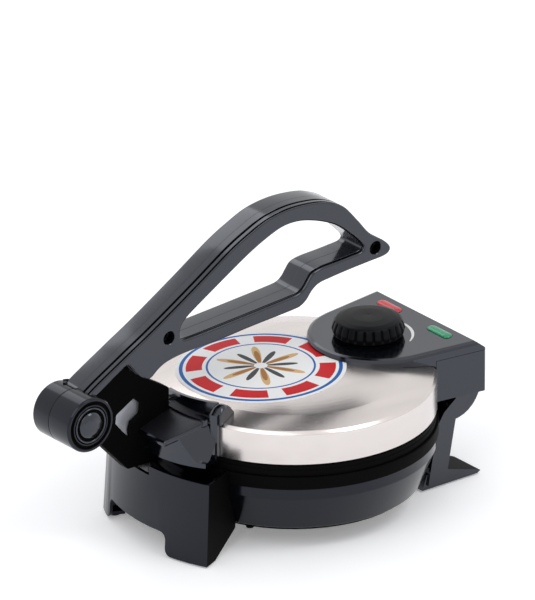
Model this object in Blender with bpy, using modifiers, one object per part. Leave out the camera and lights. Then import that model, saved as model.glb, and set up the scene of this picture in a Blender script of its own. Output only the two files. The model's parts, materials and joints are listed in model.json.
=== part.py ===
"""Electric roti maker: two heated plates in a round body, with a lid hinged at the
rear, a folding lever handle at the front and a thermostat knob on the rear panel.
All sizes are metres, +Z is up, the lever end points to -X and the near side to -Y."""

import math

import bmesh
import bpy
from mathutils import Matrix, Vector

# Clearances
SEAT_GAP = 0.0003
PLATE_GAP = 0.0008
CUT_OVERRUN = 0.004
JOIN_OVERLAP = 0.001

# Cooking plates
PLATE_SET_IN = 0.0135
PLATE_THICKNESS = 0.0060
PLATE_RIM_WIDTH = 0.0040

# Base shell, heights from the table upwards
PAD_HEIGHT = 0.0012
BASE_CLEARANCE = 0.0190
DRUM_HEIGHT = 0.0405
FLANGE_HEIGHT = 0.0105
DRUM_TAPER = 0.0120
DRUM_STRAIGHT = 0.0090
DRUM_ROUND = 0.0055
FLANGE_OVERHANG = 0.0013
FLANGE_SHELF = 0.0180
SHELL_WALL = 0.0025
LIP_WIDTH = 0.0120

# Heat ring between the base shell and the lid
RING_SET_IN = 0.0002
RING_HEIGHT = 0.0100
RING_LEDGE_DEPTH = 0.0040
RING_EDGE = 0.0012

# Bottom cover
COVER_THICKNESS = 0.0018
COVER_OVERLAP = 0.0070
VENT_COUNT = 12
VENT_WIDTH = 0.0040
VENT_LENGTH_SHARE = 0.265
VENT_PITCH_SHARE = 0.53

# Heaters, shields and studs
HEATER_RADIUS_SHARE = 0.65
HEATER_TUBE_RADIUS = 0.0035
HEATER_GAP_ANGLE = math.radians(42)
HEATER_TERMINAL = 0.0180
SHIELD_SET_IN = 0.0085
SHIELD_THICKNESS = 0.0012
SHIELD_RIM = 0.0040
STUD_RADIUS = 0.0030
STUD_CIRCLE_SHARE = 0.4138
STUD_COUNT = 3

# Front leg frame
APRON_BEFORE_DRUM = 0.0385
APRON_TOP_BEFORE_DRUM = 0.0345
APRON_WALL = 0.0030
APRON_NEAR_ANGLE = math.radians(-24.9)
APRON_FAR_ANGLE = math.radians(30)
APRON_TOP = 0.0710
APRON_LOW = 0.0205
LEG_NEAR_Y = -0.0253
LEG_FAR_Y = 0.0570
LEG_FILLET = 0.0060
SOLE_DEPTH = 0.0150
SOLE_THICKNESS = 0.0030
SOLE_END_SHARE = 0.98
DECK_HEIGHT = 0.0540
DECK_THICKNESS = 0.0025
PAD_RADIUS = 0.0052
REAR_PAD_RADIUS = 0.0080

# Rear hinge brackets
HINGE_BEHIND_LID = 0.0020
HINGE_Z = 0.0843
HINGE_PIN_RADIUS = 0.0040
KNUCKLE_RADIUS = 0.0280
KNUCKLE_BOSS_RADIUS = 0.0080
KNUCKLE_BOSS_START = math.radians(-75)
KNUCKLE_INNER_Y = 0.0430
KNUCKLE_WIDTH = 0.0158
POST_INNER_Y = 0.0500
POST_THICKNESS = 0.0088
POST_WIDTH = 0.0180
POST_LEAN = 0.0100
FOOT_BEHIND_LID = 0.0316
FOOT_LENGTH = 0.0600
FOOT_HEIGHT = 0.0130
FOOT_TIP_HEIGHT = 0.0035
FOOT_INNER_Y = 0.0240
FOOT_WIDTH = 0.0330

# Lid cover
LID_RADIUS = 0.1150
LID_GAP = 0.0005
LID_WALL_HEIGHT = 0.0283
LID_SHEET = 0.0010
LID_SHOULDER_WIDTH = 0.0240
LID_SHOULDER_RISE = 0.0045
LID_CROWN_RISE = 0.0035
LID_EDGE_ROUND = 0.0030
INNER_RING_HEIGHT = 0.0080

# Control hood and panel at the hinge end
HOOD_HALF_WIDTH = 0.0660
HOOD_BEHIND_LID = 0.0312
HOOD_FRONT_HALF_WIDTH = 0.0595
HOOD_WALL = 0.0020
HOOD_CORNER = 0.0029
HOOD_LOW = 0.0772
HOOD_TOP = 0.1127
HOOD_SLOT_TOP = 0.0935
HINGE_ARM_WIDTH = 0.0097
HINGE_ARM_RADIUS = 0.0090
HINGE_ARM_LOW = 0.0950
PANEL_TOP = 0.1217
PANEL_LOW = 0.1076
PANEL_WALL = 0.0020
PANEL_BEVEL = 0.0032
PANEL_NOSE_RADIUS = 0.0575
PANEL_NOSE_SET_IN = 0.0280
PANEL_NOSE_ANGLE = math.radians(100)
PANEL_SLOPE_RUN = 0.0107
PANEL_REAR_BLOCK = 0.0117

# Knob, thermostat and lamps
KNOB_SET_IN = 0.0383
KNOB_RADIUS = 0.0297
KNOB_COLLAR_RADIUS = 0.0235
KNOB_HEIGHT = 0.0192
KNOB_FLUTES = 24
KNOB_FLUTE_RADIUS = 0.0015
KNOB_FLUTE_PITCH_SHARE = 0.98
KNOB_FLUTE_LOW_SHARE = 0.30
KNOB_FLUTE_TOP_SHARE = 0.73
KNOB_BORE_DEPTH = 0.0130
SHAFT_RADIUS = 0.0030
THERMOSTAT_RADIUS = 0.0165
THERMOSTAT_BUSH_RADIUS = 0.0060
LAMP_BEFORE_REAR = 0.0222
LAMP_Y = 0.0320
LAMP_LENGTH = 0.0270
LAMP_WIDTH = 0.0090
LAMP_PROUD = 0.0013
LAMP_HOLDER_HEIGHT = 0.0050
GLAND_RADIUS = 0.0065
GLAND_BORE_RADIUS = 0.0035
GLAND_FLANGE = 0.0015
GLAND_Z = 0.1035

# Front bracket with its lifting tongue
BRACKET_HALF_ANGLE = math.radians(20.5)
BRACKET_WALL = 0.0057
BRACKET_LOW = 0.0780
BRACKET_DEPTH = 0.0150
BRACKET_INNER_HALF_WIDTH = 0.0393
BRACKET_SET_IN = 0.0064
BRACKET_CORNER_HALF_WIDTH = 0.0500
BRACKET_BULGE_RADIUS = 0.0820
BRACKET_BULGE_SET_IN = 0.0550
BRACKET_SHOULDER_DROP = 0.0024
RAIL_WIDTH = 0.0030
RAIL_NEAR_TOP = 0.1240
RAIL_FAR_TOP = 0.1180
RAIL_LEVEL_ANGLE = math.radians(-15)
RAIL_FAR_ANGLE = math.radians(9)
NUB_TOP = 0.1255
NUB_SET_IN = 0.0205
NUB_OVERHANG = 0.0030
NUB_ANGLE = math.radians(3.5)
TONGUE_NEAR_Y = -0.0225
TONGUE_FAR_Y = 0.0170
TONGUE_BEFORE_LID = 0.0345
TONGUE_THICKNESS = 0.0050
TONGUE_ROOT_Z = 0.1136
TONGUE_FALL = 0.0151

# Lever: pivot barrel, arm and handle
PIVOT_BEFORE_LID = 0.1083
PIVOT_Z = 0.1342
BARREL_RADIUS = 0.0230
BARREL_HALF_LENGTH = 0.0232
BARREL_SEAM_Y = 0.0020
PIVOT_PIN_RADIUS = 0.0060
CAP_RADIUS = 0.0150
CAP_THICKNESS = 0.0030
CAP_DOME = 0.0012
ARM_DEPTH = 0.0190
ARM_THICKNESS = 0.0182
ARM_BEND_BEFORE_LID = 0.0450
ARM_FOOT_LOW = 0.0665
ARM_FOOT_TOP = 0.0890
NOTCH_CLEARANCE = 0.0030
ARM_SCREW_PITCH = 0.0130
SCREW_SHANK_RADIUS = 0.0016
SCREW_HEAD_RADIUS = 0.0032
SCREW_HEAD_HEIGHT = 0.0020
SCREW_GRIP = 0.0060
HANDLE_REACH = 0.3104
HANDLE_RISE = 0.1280
HANDLE_WIDTH = 0.0316
HANDLE_EDGE_ROUND = 0.0016
HANDLE_RECESS_RADIUS = 0.0042
HANDLE_RECESS_DEPTH = 0.0090

# Outline of the handle seen from the near side, as shares of its reach and rise
HANDLE_UPPER_SHARES = (
    (0.012, 0.175), (0.129, 0.340), (0.208, 0.445), (0.290, 0.562), (0.372, 0.683), (0.470, 0.832),
    (0.536, 0.914), (0.602, 0.977), (0.677, 1.000), (0.755, 0.985), (0.805, 0.950), (0.852, 0.885),
    (0.893, 0.775), (0.934, 0.656), (0.980, 0.575), (0.998, 0.531), (0.997, 0.496), (0.979, 0.472),
)
HANDLE_LOWER_SHARES = (
    (0.931, 0.464), (0.865, 0.453), (0.799, 0.438), (0.765, 0.426), (0.743, 0.395), (0.725, 0.344),
    (0.706, 0.314), (0.677, 0.301), (0.536, 0.279), (0.438, 0.259), (0.338, 0.250), (0.274, 0.230),
    (0.242, 0.199), (0.214, 0.152), (0.193, 0.168), (0.168, 0.227), (0.142, 0.290), (0.110, 0.255),
    (0.030, 0.145),
)
HANDLE_OPENING_SHARES = (
    (0.311, 0.391), (0.316, 0.438), (0.332, 0.480), (0.356, 0.520), (0.438, 0.639), (0.536, 0.777),
    (0.602, 0.852), (0.651, 0.889), (0.701, 0.889), (0.751, 0.859), (0.799, 0.812), (0.839, 0.754),
    (0.882, 0.662), (0.910, 0.586), (0.905, 0.553), (0.870, 0.544), (0.832, 0.538), (0.773, 0.531),
    (0.744, 0.512), (0.728, 0.469), (0.717, 0.434), (0.699, 0.406), (0.660, 0.395), (0.602, 0.385),
    (0.470, 0.363), (0.338, 0.344), (0.316, 0.355),
)
HANDLE_SCREW_SHARES = ((0.2735, 0.3875), (0.9490, 0.5480))

# Front edge of a hinge knuckle from its pin, as shares of the knuckle's radius
KNUCKLE_FRONT_SHARES = ((-0.339, -0.682), (0.090, -0.350))

# Knob section, as shares of its radius and height
KNOB_SHARES = (
    (0.00, 1.00), (0.45, 0.985), (0.72, 0.935), (0.87, 0.85), (0.926, 0.73), (1.00, 0.365),
    (0.955, 0.12), (0.93, 0.09),
)

# Facets of round pieces
LARGE_SIDES = 48
MEDIUM_SIDES = 24
SMALL_SIDES = 12
SCREW_SIDES = 8

# The round body: each radius follows from the lid's
DRUM_TOP_RADIUS = LID_RADIUS
DRUM_BOTTOM_RADIUS = DRUM_TOP_RADIUS - DRUM_TAPER
FLANGE_RADIUS = DRUM_TOP_RADIUS + FLANGE_OVERHANG
RING_RADIUS = LID_RADIUS - RING_SET_IN
PLATE_RADIUS = LID_RADIUS - PLATE_SET_IN
HEATER_RADIUS = PLATE_RADIUS * HEATER_RADIUS_SHARE
SHIELD_RADIUS = PLATE_RADIUS - SHIELD_SET_IN
STUD_CIRCLE_RADIUS = PLATE_RADIUS * STUD_CIRCLE_SHARE

# Pieces round the body: their places follow from the lid's radius too
APRON_RADIUS = DRUM_TOP_RADIUS + APRON_BEFORE_DRUM
APRON_TOP_RADIUS = DRUM_TOP_RADIUS + APRON_TOP_BEFORE_DRUM
HINGE_X = LID_RADIUS + HINGE_BEHIND_LID
FOOT_REACH = LID_RADIUS + FOOT_BEHIND_LID
HOOD_REAR = LID_RADIUS + HOOD_BEHIND_LID
PANEL_NOSE_X = LID_RADIUS - PANEL_NOSE_SET_IN
PANEL_SLOPE_X = HOOD_REAR - PANEL_SLOPE_RUN
PANEL_HOLLOW_REAR = HOOD_REAR - PANEL_REAR_BLOCK
KNOB_X = LID_RADIUS - KNOB_SET_IN
LAMP_X = HOOD_REAR - LAMP_BEFORE_REAR
BRACKET_INNER_X = LID_RADIUS - BRACKET_SET_IN
BRACKET_BULGE_X = LID_RADIUS - BRACKET_BULGE_SET_IN
NUB_INNER_RADIUS = LID_RADIUS - NUB_SET_IN
NUB_OUTER_RADIUS = LID_RADIUS + NUB_OVERHANG
TONGUE_REACH = LID_RADIUS + TONGUE_BEFORE_LID
ARM_BEND_X = -LID_RADIUS - ARM_BEND_BEFORE_LID
PIVOT_X = -LID_RADIUS - PIVOT_BEFORE_LID

# Heights and places that follow from the sizes above
FOOT_LOW = PAD_HEIGHT + SEAT_GAP
FLANGE_LOW = BASE_CLEARANCE + DRUM_HEIGHT
FLANGE_TOP = FLANGE_LOW + FLANGE_HEIGHT
RING_LOW = FLANGE_TOP + SEAT_GAP
RING_TOP = RING_LOW + RING_HEIGHT
LOWER_PLATE_TOP = RING_TOP
LOWER_PLATE_LOW = LOWER_PLATE_TOP - PLATE_THICKNESS
LID_LOW = RING_TOP + LID_GAP
UPPER_PLATE_LOW = LOWER_PLATE_TOP + PLATE_GAP
UPPER_PLATE_TOP = UPPER_PLATE_LOW + PLATE_THICKNESS
LID_WALL_TOP = LID_LOW + LID_WALL_HEIGHT
LID_CREASE_RADIUS = LID_RADIUS - LID_SHOULDER_WIDTH
LID_CREASE_Z = LID_WALL_TOP + LID_SHOULDER_RISE
LIP_RADIUS = DRUM_BOTTOM_RADIUS - LIP_WIDTH
COVER_RADIUS = LIP_RADIUS + COVER_OVERLAP
VENT_PITCH_RADIUS = COVER_RADIUS * VENT_PITCH_SHARE
VENT_LENGTH = COVER_RADIUS * VENT_LENGTH_SHARE
COVER_TOP = BASE_CLEARANCE - SEAT_GAP
COVER_LOW = COVER_TOP - COVER_THICKNESS
LID_CLEAR_RADIUS = LID_RADIUS + SEAT_GAP
HOOD_FRONT = math.sqrt(LID_CLEAR_RADIUS ** 2 - HOOD_FRONT_HALF_WIDTH ** 2)
BRACKET_RADIUS = LID_CLEAR_RADIUS + BRACKET_WALL
ARM_NEAR_Y = BARREL_SEAM_Y + SEAT_GAP
ARM_FAR_Y = ARM_NEAR_Y + ARM_THICKNESS
ARM_MID_Y = (ARM_NEAR_Y + ARM_FAR_Y) / 2
FRONT_REACH = BARREL_RADIUS - PIVOT_X
REAR_REACH = max(FOOT_REACH, HOOD_REAR + SEAT_GAP + max(GLAND_FLANGE, SCREW_HEAD_HEIGHT))
AXIS_X = (FRONT_REACH - REAR_REACH) / 2


def clear_scene():
    for old in list(bpy.data.objects):
        bpy.data.objects.remove(old, do_unlink=True)


def new_collection(name):
    collection = bpy.data.collections.new(name)
    bpy.context.scene.collection.children.link(collection)
    return collection


clear_scene()
PARTS = new_collection("electric_roti_maker")
CUTTERS = new_collection("cutters")


def new_empty(name, place, parent=None):
    """An empty that carries a moving group, with its origin on the joint's axis."""
    empty = bpy.data.objects.new(name, None)
    PARTS.objects.link(empty)
    empty.location = place
    empty.parent = parent
    return empty


ROOT = new_empty("roti_maker_origin", (AXIS_X, 0, 0))
LID_HINGE = new_empty("lid_hinge_axis", (HINGE_X, 0, HINGE_Z), ROOT)
HANDLE_PIVOT = new_empty(
    "handle_pivot_axis", (PIVOT_X - HINGE_X, 0, PIVOT_Z - HINGE_Z), LID_HINGE
)
KNOB_AXIS = new_empty("knob_axis", (KNOB_X - HINGE_X, 0, PANEL_TOP - HINGE_Z), LID_HINGE)
CARRIER_PLACES = {
    ROOT: Vector((0, 0, 0)),
    LID_HINGE: Vector((HINGE_X, 0, HINGE_Z)),
    HANDLE_PIVOT: Vector((PIVOT_X, 0, PIVOT_Z)),
    KNOB_AXIS: Vector((KNOB_X, 0, PANEL_TOP)),
}


def new_material(name, colour, roughness, metallic=0.0):
    material = bpy.data.materials.new(name)
    material.use_nodes = True
    shader = material.node_tree.nodes["Principled BSDF"]
    shader.inputs["Base Color"].default_value = (*colour, 1)
    shader.inputs["Roughness"].default_value = roughness
    shader.inputs["Metallic"].default_value = metallic
    return material


def move_to(obj, collection):
    for owner in list(obj.users_collection):
        owner.objects.unlink(obj)
    collection.objects.link(obj)


def hang_on(obj, carrier):
    """Parents an object whose place is given from the lid's axis."""
    obj.parent = carrier
    obj.matrix_parent_inverse = Matrix.Translation(-CARRIER_PLACES[carrier])


def finish(obj, name, carrier, colour, roughness, metallic=0.0):
    """Names a piece, hangs it on its carrier, gives it its material and shades it."""
    obj.name = name
    obj.data.name = name
    move_to(obj, PARTS)
    hang_on(obj, carrier)
    obj.data.materials.clear()
    obj.data.materials.append(new_material(name, colour, roughness, metallic))
    obj.data.shade_smooth()
    obj.data.set_sharp_from_angle(angle=math.radians(35))
    return obj


def as_cutter(obj):
    move_to(obj, CUTTERS)
    hang_on(obj, ROOT)
    obj.hide_render = True
    obj.display_type = "WIRE"
    return obj


def combine(obj, other, operation):
    modifier = obj.modifiers.new(other.name, "BOOLEAN")
    modifier.operation = operation
    modifier.solver = "EXACT"
    modifier.object = as_cutter(other)
    return obj


def cut(obj, *others):
    for other in others:
        combine(obj, other, "DIFFERENCE")
    return obj


def join(obj, *others):
    for other in others:
        combine(obj, other, "UNION")
    return obj


def arc(centre_a, centre_b, radius, start, end, steps):
    """Points of a circular arc from one angle to another, in radians."""
    return [
        (
            centre_a + radius * math.cos(start + (end - start) * i / steps),
            centre_b + radius * math.sin(start + (end - start) * i / steps),
        )
        for i in range(steps + 1)
    ]


def smooth_loop(points, steps):
    """A closed Catmull-Rom curve through the points."""
    count = len(points)
    curve = []
    for i in range(count):
        p0, p1, p2, p3 = (Vector(points[(i + k) % count]) for k in (-1, 0, 1, 2))
        for j in range(steps):
            t = j / steps
            place = (
                2 * p1 + (p2 - p0) * t
                + (2 * p0 - 5 * p1 + 4 * p2 - p3) * t ** 2
                + (3 * p1 - p0 - 3 * p2 + p3) * t ** 3
            ) / 2
            curve.append((place.x, place.y))
    return curve


def turned(name, profile, sides, closed=True, centre_x=0.0):
    """A turned solid: the profile of (radius, height) points runs down its outer side."""
    mesh = bpy.data.meshes.new(name)
    edges = [(i, i + 1) for i in range(len(profile) - 1)]
    if closed:
        edges.append((len(profile) - 1, 0))
    mesh.from_pydata([(r, 0, z) for r, z in profile], edges, [])
    obj = bpy.data.objects.new(name, mesh)
    PARTS.objects.link(obj)
    obj.location = (centre_x, 0, 0)
    screw = obj.modifiers.new("turn", "SCREW")
    screw.axis = "Z"
    screw.steps = sides
    screw.render_steps = sides
    screw.use_merge_vertices = True
    screw.merge_threshold = 0.00001
    return obj


def slab(name, loops, low, high, plane="XY", edge_round=0.0):
    """A flat plate: closed outlines, the first one outer, extruded from low to high."""
    curve = bpy.data.curves.new(name, "CURVE")
    curve.dimensions = "2D"
    curve.fill_mode = "BOTH"
    curve.extrude = (high - low) / 2 - edge_round
    curve.bevel_depth = edge_round
    curve.bevel_resolution = 0
    curve.offset = -edge_round
    for loop in loops:
        spline = curve.splines.new("POLY")
        spline.points.add(len(loop) - 1)
        spline.use_cyclic_u = True
        for point, (a, b) in zip(spline.points, loop):
            point.co = (a, b, 0, 1)
    guide = bpy.data.objects.new(name, curve)
    bpy.context.scene.collection.objects.link(guide)
    middle = (low + high) / 2
    if plane == "XY":
        guide.location = (0, 0, middle)
    if plane == "XZ":
        guide.location = (0, middle, 0)
        guide.rotation_euler = (math.pi / 2, 0, 0)
    if plane == "YZ":
        guide.location = (middle, 0, 0)
        guide.rotation_euler = (math.pi / 2, 0, math.pi / 2)
    bpy.context.view_layer.update()
    evaluated = guide.evaluated_get(bpy.context.evaluated_depsgraph_get())
    mesh = bpy.data.meshes.new_from_object(evaluated)
    weld_caps(mesh)
    obj = bpy.data.objects.new(name, mesh)
    PARTS.objects.link(obj)
    obj.matrix_world = guide.matrix_world
    bpy.data.objects.remove(guide)
    return obj


def weld_caps(mesh):
    work = bmesh.new()
    work.from_mesh(mesh)
    bmesh.ops.remove_doubles(work, verts=work.verts, dist=0.000001)
    bmesh.ops.recalc_face_normals(work, faces=work.faces)
    work.to_mesh(mesh)
    work.free()


def merge_caps(obj):
    """Joins the triangles of each flat cap into one face, so that a bevel runs evenly round it."""
    work = bmesh.new()
    work.from_mesh(obj.data)
    bmesh.ops.dissolve_limit(
        work, angle_limit=math.radians(1), use_dissolve_boundaries=False,
        verts=work.verts, edges=work.edges,
    )
    work.to_mesh(obj.data)
    work.free()


def rod(name, radius, low, high, axis, centre, sides=SMALL_SIDES):
    """A cylinder along X, Y or Z between two places on that axis."""
    turns = {"X": (0, math.pi / 2, 0), "Y": (math.pi / 2, 0, 0), "Z": (0, 0, 0)}
    bpy.ops.mesh.primitive_cylinder_add(
        vertices=sides, radius=radius, depth=high - low, rotation=turns[axis]
    )
    obj = bpy.context.object
    obj.name = name
    middle = (low + high) / 2
    places = {
        "X": (middle, centre[0], centre[1]),
        "Y": (centre[0], middle, centre[1]),
        "Z": (centre[0], centre[1], middle),
    }
    obj.location = places[axis]
    return obj


def box(name, low, high):
    """A block between two corners."""
    low = Vector(low)
    high = Vector(high)
    bpy.ops.mesh.primitive_cube_add(size=1, location=(low + high) / 2)
    obj = bpy.context.object
    obj.name = name
    obj.data.transform(Matrix.Diagonal((*(high - low), 1)))
    return obj


def sector(name, inner, outer, start, end, low, high, steps=10):
    """Part of a ring about the lid's axis, with angles from the lever side, -X, towards +Y."""
    outline = arc(0, 0, outer, math.pi - start, math.pi - end, steps)
    outline += arc(0, 0, inner, math.pi - end, math.pi - start, steps)
    return slab(name, [outline], low, high)


BLACK_GLOSS = ((0.018, 0.019, 0.022), 0.25)
BLACK_MATT = ((0.022, 0.022, 0.023), 0.65)
STEEL = ((0.62, 0.60, 0.58), 0.32, 1.0)
ZINC = ((0.50, 0.50, 0.50), 0.40, 1.0)
RUBBER = ((0.030, 0.030, 0.030), 0.85)
PLATE_TONE = (0.030, 0.029, 0.028)


def drum_outline(grow):
    """Outer side of the base shell from flange to lip, grown by a clearance."""
    bottom_round = arc(
        DRUM_BOTTOM_RADIUS - DRUM_ROUND, BASE_CLEARANCE + DRUM_ROUND, DRUM_ROUND + grow,
        0, -math.pi / 2, 3,
    )
    return [
        (FLANGE_RADIUS + grow, FLANGE_TOP),
        (FLANGE_RADIUS + grow, FLANGE_LOW - grow),
        (DRUM_TOP_RADIUS + grow, FLANGE_LOW - grow),
        (DRUM_TOP_RADIUS + grow, FLANGE_LOW - DRUM_STRAIGHT),
        *bottom_round,
    ]


def make_base_shell():
    """The black drum: flange and plate shelf on top, an inward lip below."""
    inner = DRUM_TOP_RADIUS - SHELL_WALL
    profile = [(FLANGE_RADIUS - FLANGE_SHELF, FLANGE_TOP)]
    profile += drum_outline(0)
    profile += [
        (LIP_RADIUS, BASE_CLEARANCE),
        (LIP_RADIUS, BASE_CLEARANCE + SHELL_WALL),
        (DRUM_BOTTOM_RADIUS - DRUM_ROUND, BASE_CLEARANCE + SHELL_WALL),
        (DRUM_BOTTOM_RADIUS - SHELL_WALL, BASE_CLEARANCE + DRUM_ROUND),
        (inner, FLANGE_LOW - DRUM_STRAIGHT),
        (inner, FLANGE_TOP - SHELL_WALL),
        (FLANGE_RADIUS - FLANGE_SHELF, FLANGE_TOP - SHELL_WALL),
    ]
    shell = turned("base_shell", profile, LARGE_SIDES)
    for x, y in cover_screw_places():
        cut(shell, rod("lip_hole", SCREW_SHANK_RADIUS + SEAT_GAP, BASE_CLEARANCE - CUT_OVERRUN,
                       BASE_CLEARANCE + SHELL_WALL + CUT_OVERRUN / 2, "Z", (x, y), SMALL_SIDES))
    return finish(shell, "base_shell", ROOT, *BLACK_GLOSS)


def cover_screw_places():
    radius = (LIP_RADIUS + COVER_RADIUS) / 2
    return [
        (radius * math.cos(a), radius * math.sin(a))
        for a in (math.radians(90), math.radians(210), math.radians(330))
    ]


def make_bottom_cover():
    """A disc with radial vent slots, screwed under the shell's lip."""
    disc = turned("bottom_cover", [
        (0, COVER_TOP), (COVER_RADIUS, COVER_TOP), (COVER_RADIUS, COVER_LOW), (0, COVER_LOW),
    ], LARGE_SIDES, closed=False)
    slots = []
    for i in range(VENT_COUNT):
        slot = box("vent", (VENT_PITCH_RADIUS - VENT_LENGTH / 2, -VENT_WIDTH / 2, -CUT_OVERRUN),
                   (VENT_PITCH_RADIUS + VENT_LENGTH / 2, VENT_WIDTH / 2, CUT_OVERRUN))
        slot.location.z = COVER_TOP
        slot.data.transform(Matrix.Translation((slot.location.x, 0, 0)))
        slot.location.x = 0
        slot.rotation_euler.z = 2 * math.pi * i / VENT_COUNT
        slots.append(slot)
    cut(disc, *slots)
    for x, y in cover_screw_places():
        cut(disc, rod("cover_hole", SCREW_SHANK_RADIUS + SEAT_GAP, COVER_LOW - CUT_OVERRUN,
                      COVER_TOP + CUT_OVERRUN, "Z", (x, y), SMALL_SIDES))
    return finish(disc, "bottom_cover", ROOT, *BLACK_MATT)


def make_screw(name, carrier, x, y, head_low, shank_top):
    """A pan-head screw that points up, turned as one solid."""
    head_top = head_low + SCREW_HEAD_HEIGHT
    screw = turned(name, [
        (0, shank_top), (SCREW_SHANK_RADIUS, shank_top), (SCREW_SHANK_RADIUS, head_top),
        (SCREW_HEAD_RADIUS, head_top), (SCREW_HEAD_RADIUS, head_low), (0, head_low),
    ], SCREW_SIDES, closed=False)
    screw.location = (x, y, 0)
    return finish(screw, name, carrier, *ZINC)


def make_cover_screws():
    for i, (x, y) in enumerate(cover_screw_places(), 1):
        make_screw(f"bottom_screw_{i}", ROOT, x, y, COVER_LOW - SEAT_GAP - SCREW_HEAD_HEIGHT,
                   BASE_CLEARANCE + SHELL_WALL)


def make_rim_ring():
    """Matt black heat ring on the flange, with a ledge that the lower plate rests on."""
    ledge = LOWER_PLATE_LOW + PLATE_THICKNESS - RING_LEDGE_DEPTH - SEAT_GAP
    bore = PLATE_RADIUS + SEAT_GAP
    ring = turned("rim_ring", [
        (bore, RING_TOP), (RING_RADIUS - RING_EDGE, RING_TOP), (RING_RADIUS, RING_TOP - RING_EDGE),
        (RING_RADIUS, RING_LOW), (PLATE_RADIUS - PLATE_RIM_WIDTH, RING_LOW),
        (PLATE_RADIUS - PLATE_RIM_WIDTH, ledge), (bore, ledge),
    ], LARGE_SIDES)
    return finish(ring, "rim_ring", ROOT, *BLACK_MATT)


def make_plate(name, carrier, face, back, tone):
    """A cast plate: flat face, thick middle and a thinner flange that seats in its ring."""
    up = 1 if face > back else -1
    flange_back = face - up * RING_LEDGE_DEPTH
    step_radius = PLATE_RADIUS - PLATE_RIM_WIDTH - SEAT_GAP
    outline = [
        (0, face), (PLATE_RADIUS - RING_EDGE / 2, face), (PLATE_RADIUS, face - up * RING_EDGE / 2),
        (PLATE_RADIUS, flange_back), (step_radius, flange_back), (step_radius, back), (0, back),
    ]
    plate = turned(name, outline if up > 0 else outline[::-1], LARGE_SIDES, closed=False)
    return finish(plate, name, carrier, tone, 0.45, 0.2)


def make_heater(name, carrier, height):
    """A tubular element: an open loop with two straight terminals at the hinge side."""
    loop = arc(0, 0, HEATER_RADIUS, HEATER_GAP_ANGLE, 2 * math.pi - HEATER_GAP_ANGLE, 22)
    tangent = (math.sin(HEATER_GAP_ANGLE), math.cos(HEATER_GAP_ANGLE))
    first = (loop[0][0] + HEATER_TERMINAL * tangent[1], loop[0][1] + HEATER_TERMINAL * tangent[0] / 4)
    last = (first[0], -first[1])
    curve = bpy.data.curves.new(name, "CURVE")
    curve.dimensions = "3D"
    curve.bevel_depth = HEATER_TUBE_RADIUS
    curve.bevel_resolution = 1
    curve.use_fill_caps = True
    spline = curve.splines.new("POLY")
    points = [first, *loop, last]
    spline.points.add(len(points) - 1)
    for point, (x, y) in zip(spline.points, points):
        point.co = (x, y, height, 1)
    guide = bpy.data.objects.new(name, curve)
    bpy.context.scene.collection.objects.link(guide)
    bpy.context.view_layer.update()
    mesh = bpy.data.meshes.new_from_object(
        guide.evaluated_get(bpy.context.evaluated_depsgraph_get())
    )
    weld_caps(mesh)
    bpy.data.objects.remove(guide)
    heater = bpy.data.objects.new(name, mesh)
    PARTS.objects.link(heater)
    return finish(heater, name, carrier, (0.10, 0.09, 0.09), 0.5, 0.8)


def stud_places():
    return [
        (STUD_CIRCLE_RADIUS * math.cos(a), STUD_CIRCLE_RADIUS * math.sin(a))
        for a in (2 * math.pi * (i + 0.5) / STUD_COUNT for i in range(STUD_COUNT))
    ]


def make_shield(name, carrier, base, up):
    """A shallow steel dish behind the heater, with holes for the plate studs."""
    outline = [
        (0, base + up * SHIELD_THICKNESS), (SHIELD_RADIUS - SHIELD_THICKNESS, base + up * SHIELD_THICKNESS),
        (SHIELD_RADIUS - SHIELD_THICKNESS, base + up * SHIELD_RIM), (SHIELD_RADIUS, base + up * SHIELD_RIM),
        (SHIELD_RADIUS, base), (0, base),
    ]
    dish = turned(name, outline if up > 0 else outline[::-1], MEDIUM_SIDES, closed=False)
    for x, y in stud_places():
        cut(dish, rod("stud_hole", STUD_RADIUS + SEAT_GAP, base - SHIELD_RIM, base + SHIELD_RIM,
                      "Z", (x, y)))
    if up < 0:
        cut(dish, rod("thermostat_hole", THERMOSTAT_RADIUS + JOIN_OVERLAP, base - 2 * SHIELD_RIM,
                      base + 2 * SHIELD_RIM, "Z", (KNOB_X, 0), MEDIUM_SIDES))
    return finish(dish, name, carrier, (0.55, 0.55, 0.54), 0.35, 1.0)


def make_studs(name, carrier, low, high):
    for i, place in enumerate(stud_places(), 1):
        stud = rod(f"{name}_{i}", STUD_RADIUS, low, high, "Z", place)
        finish(stud, f"{name}_{i}", carrier, *ZINC)


def make_lower_heating():
    make_plate("lower_plate", ROOT, LOWER_PLATE_TOP, LOWER_PLATE_LOW, PLATE_TONE)
    heater_z = LOWER_PLATE_LOW - SEAT_GAP - HEATER_TUBE_RADIUS
    make_heater("lower_heater", ROOT, heater_z)
    shield_z = heater_z - HEATER_TUBE_RADIUS - SEAT_GAP - SHIELD_THICKNESS
    make_shield("lower_heat_shield", ROOT, shield_z, 1)
    make_studs("lower_plate_stud", ROOT, COVER_TOP + SEAT_GAP, LOWER_PLATE_LOW - SEAT_GAP)


def apron_radius(z):
    """Outer radius of the apron, which widens evenly from its top to the table."""
    share = (APRON_TOP - z) / (APRON_TOP - FOOT_LOW)
    return APRON_TOP_RADIUS + share * (APRON_RADIUS - APRON_TOP_RADIUS)


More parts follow.
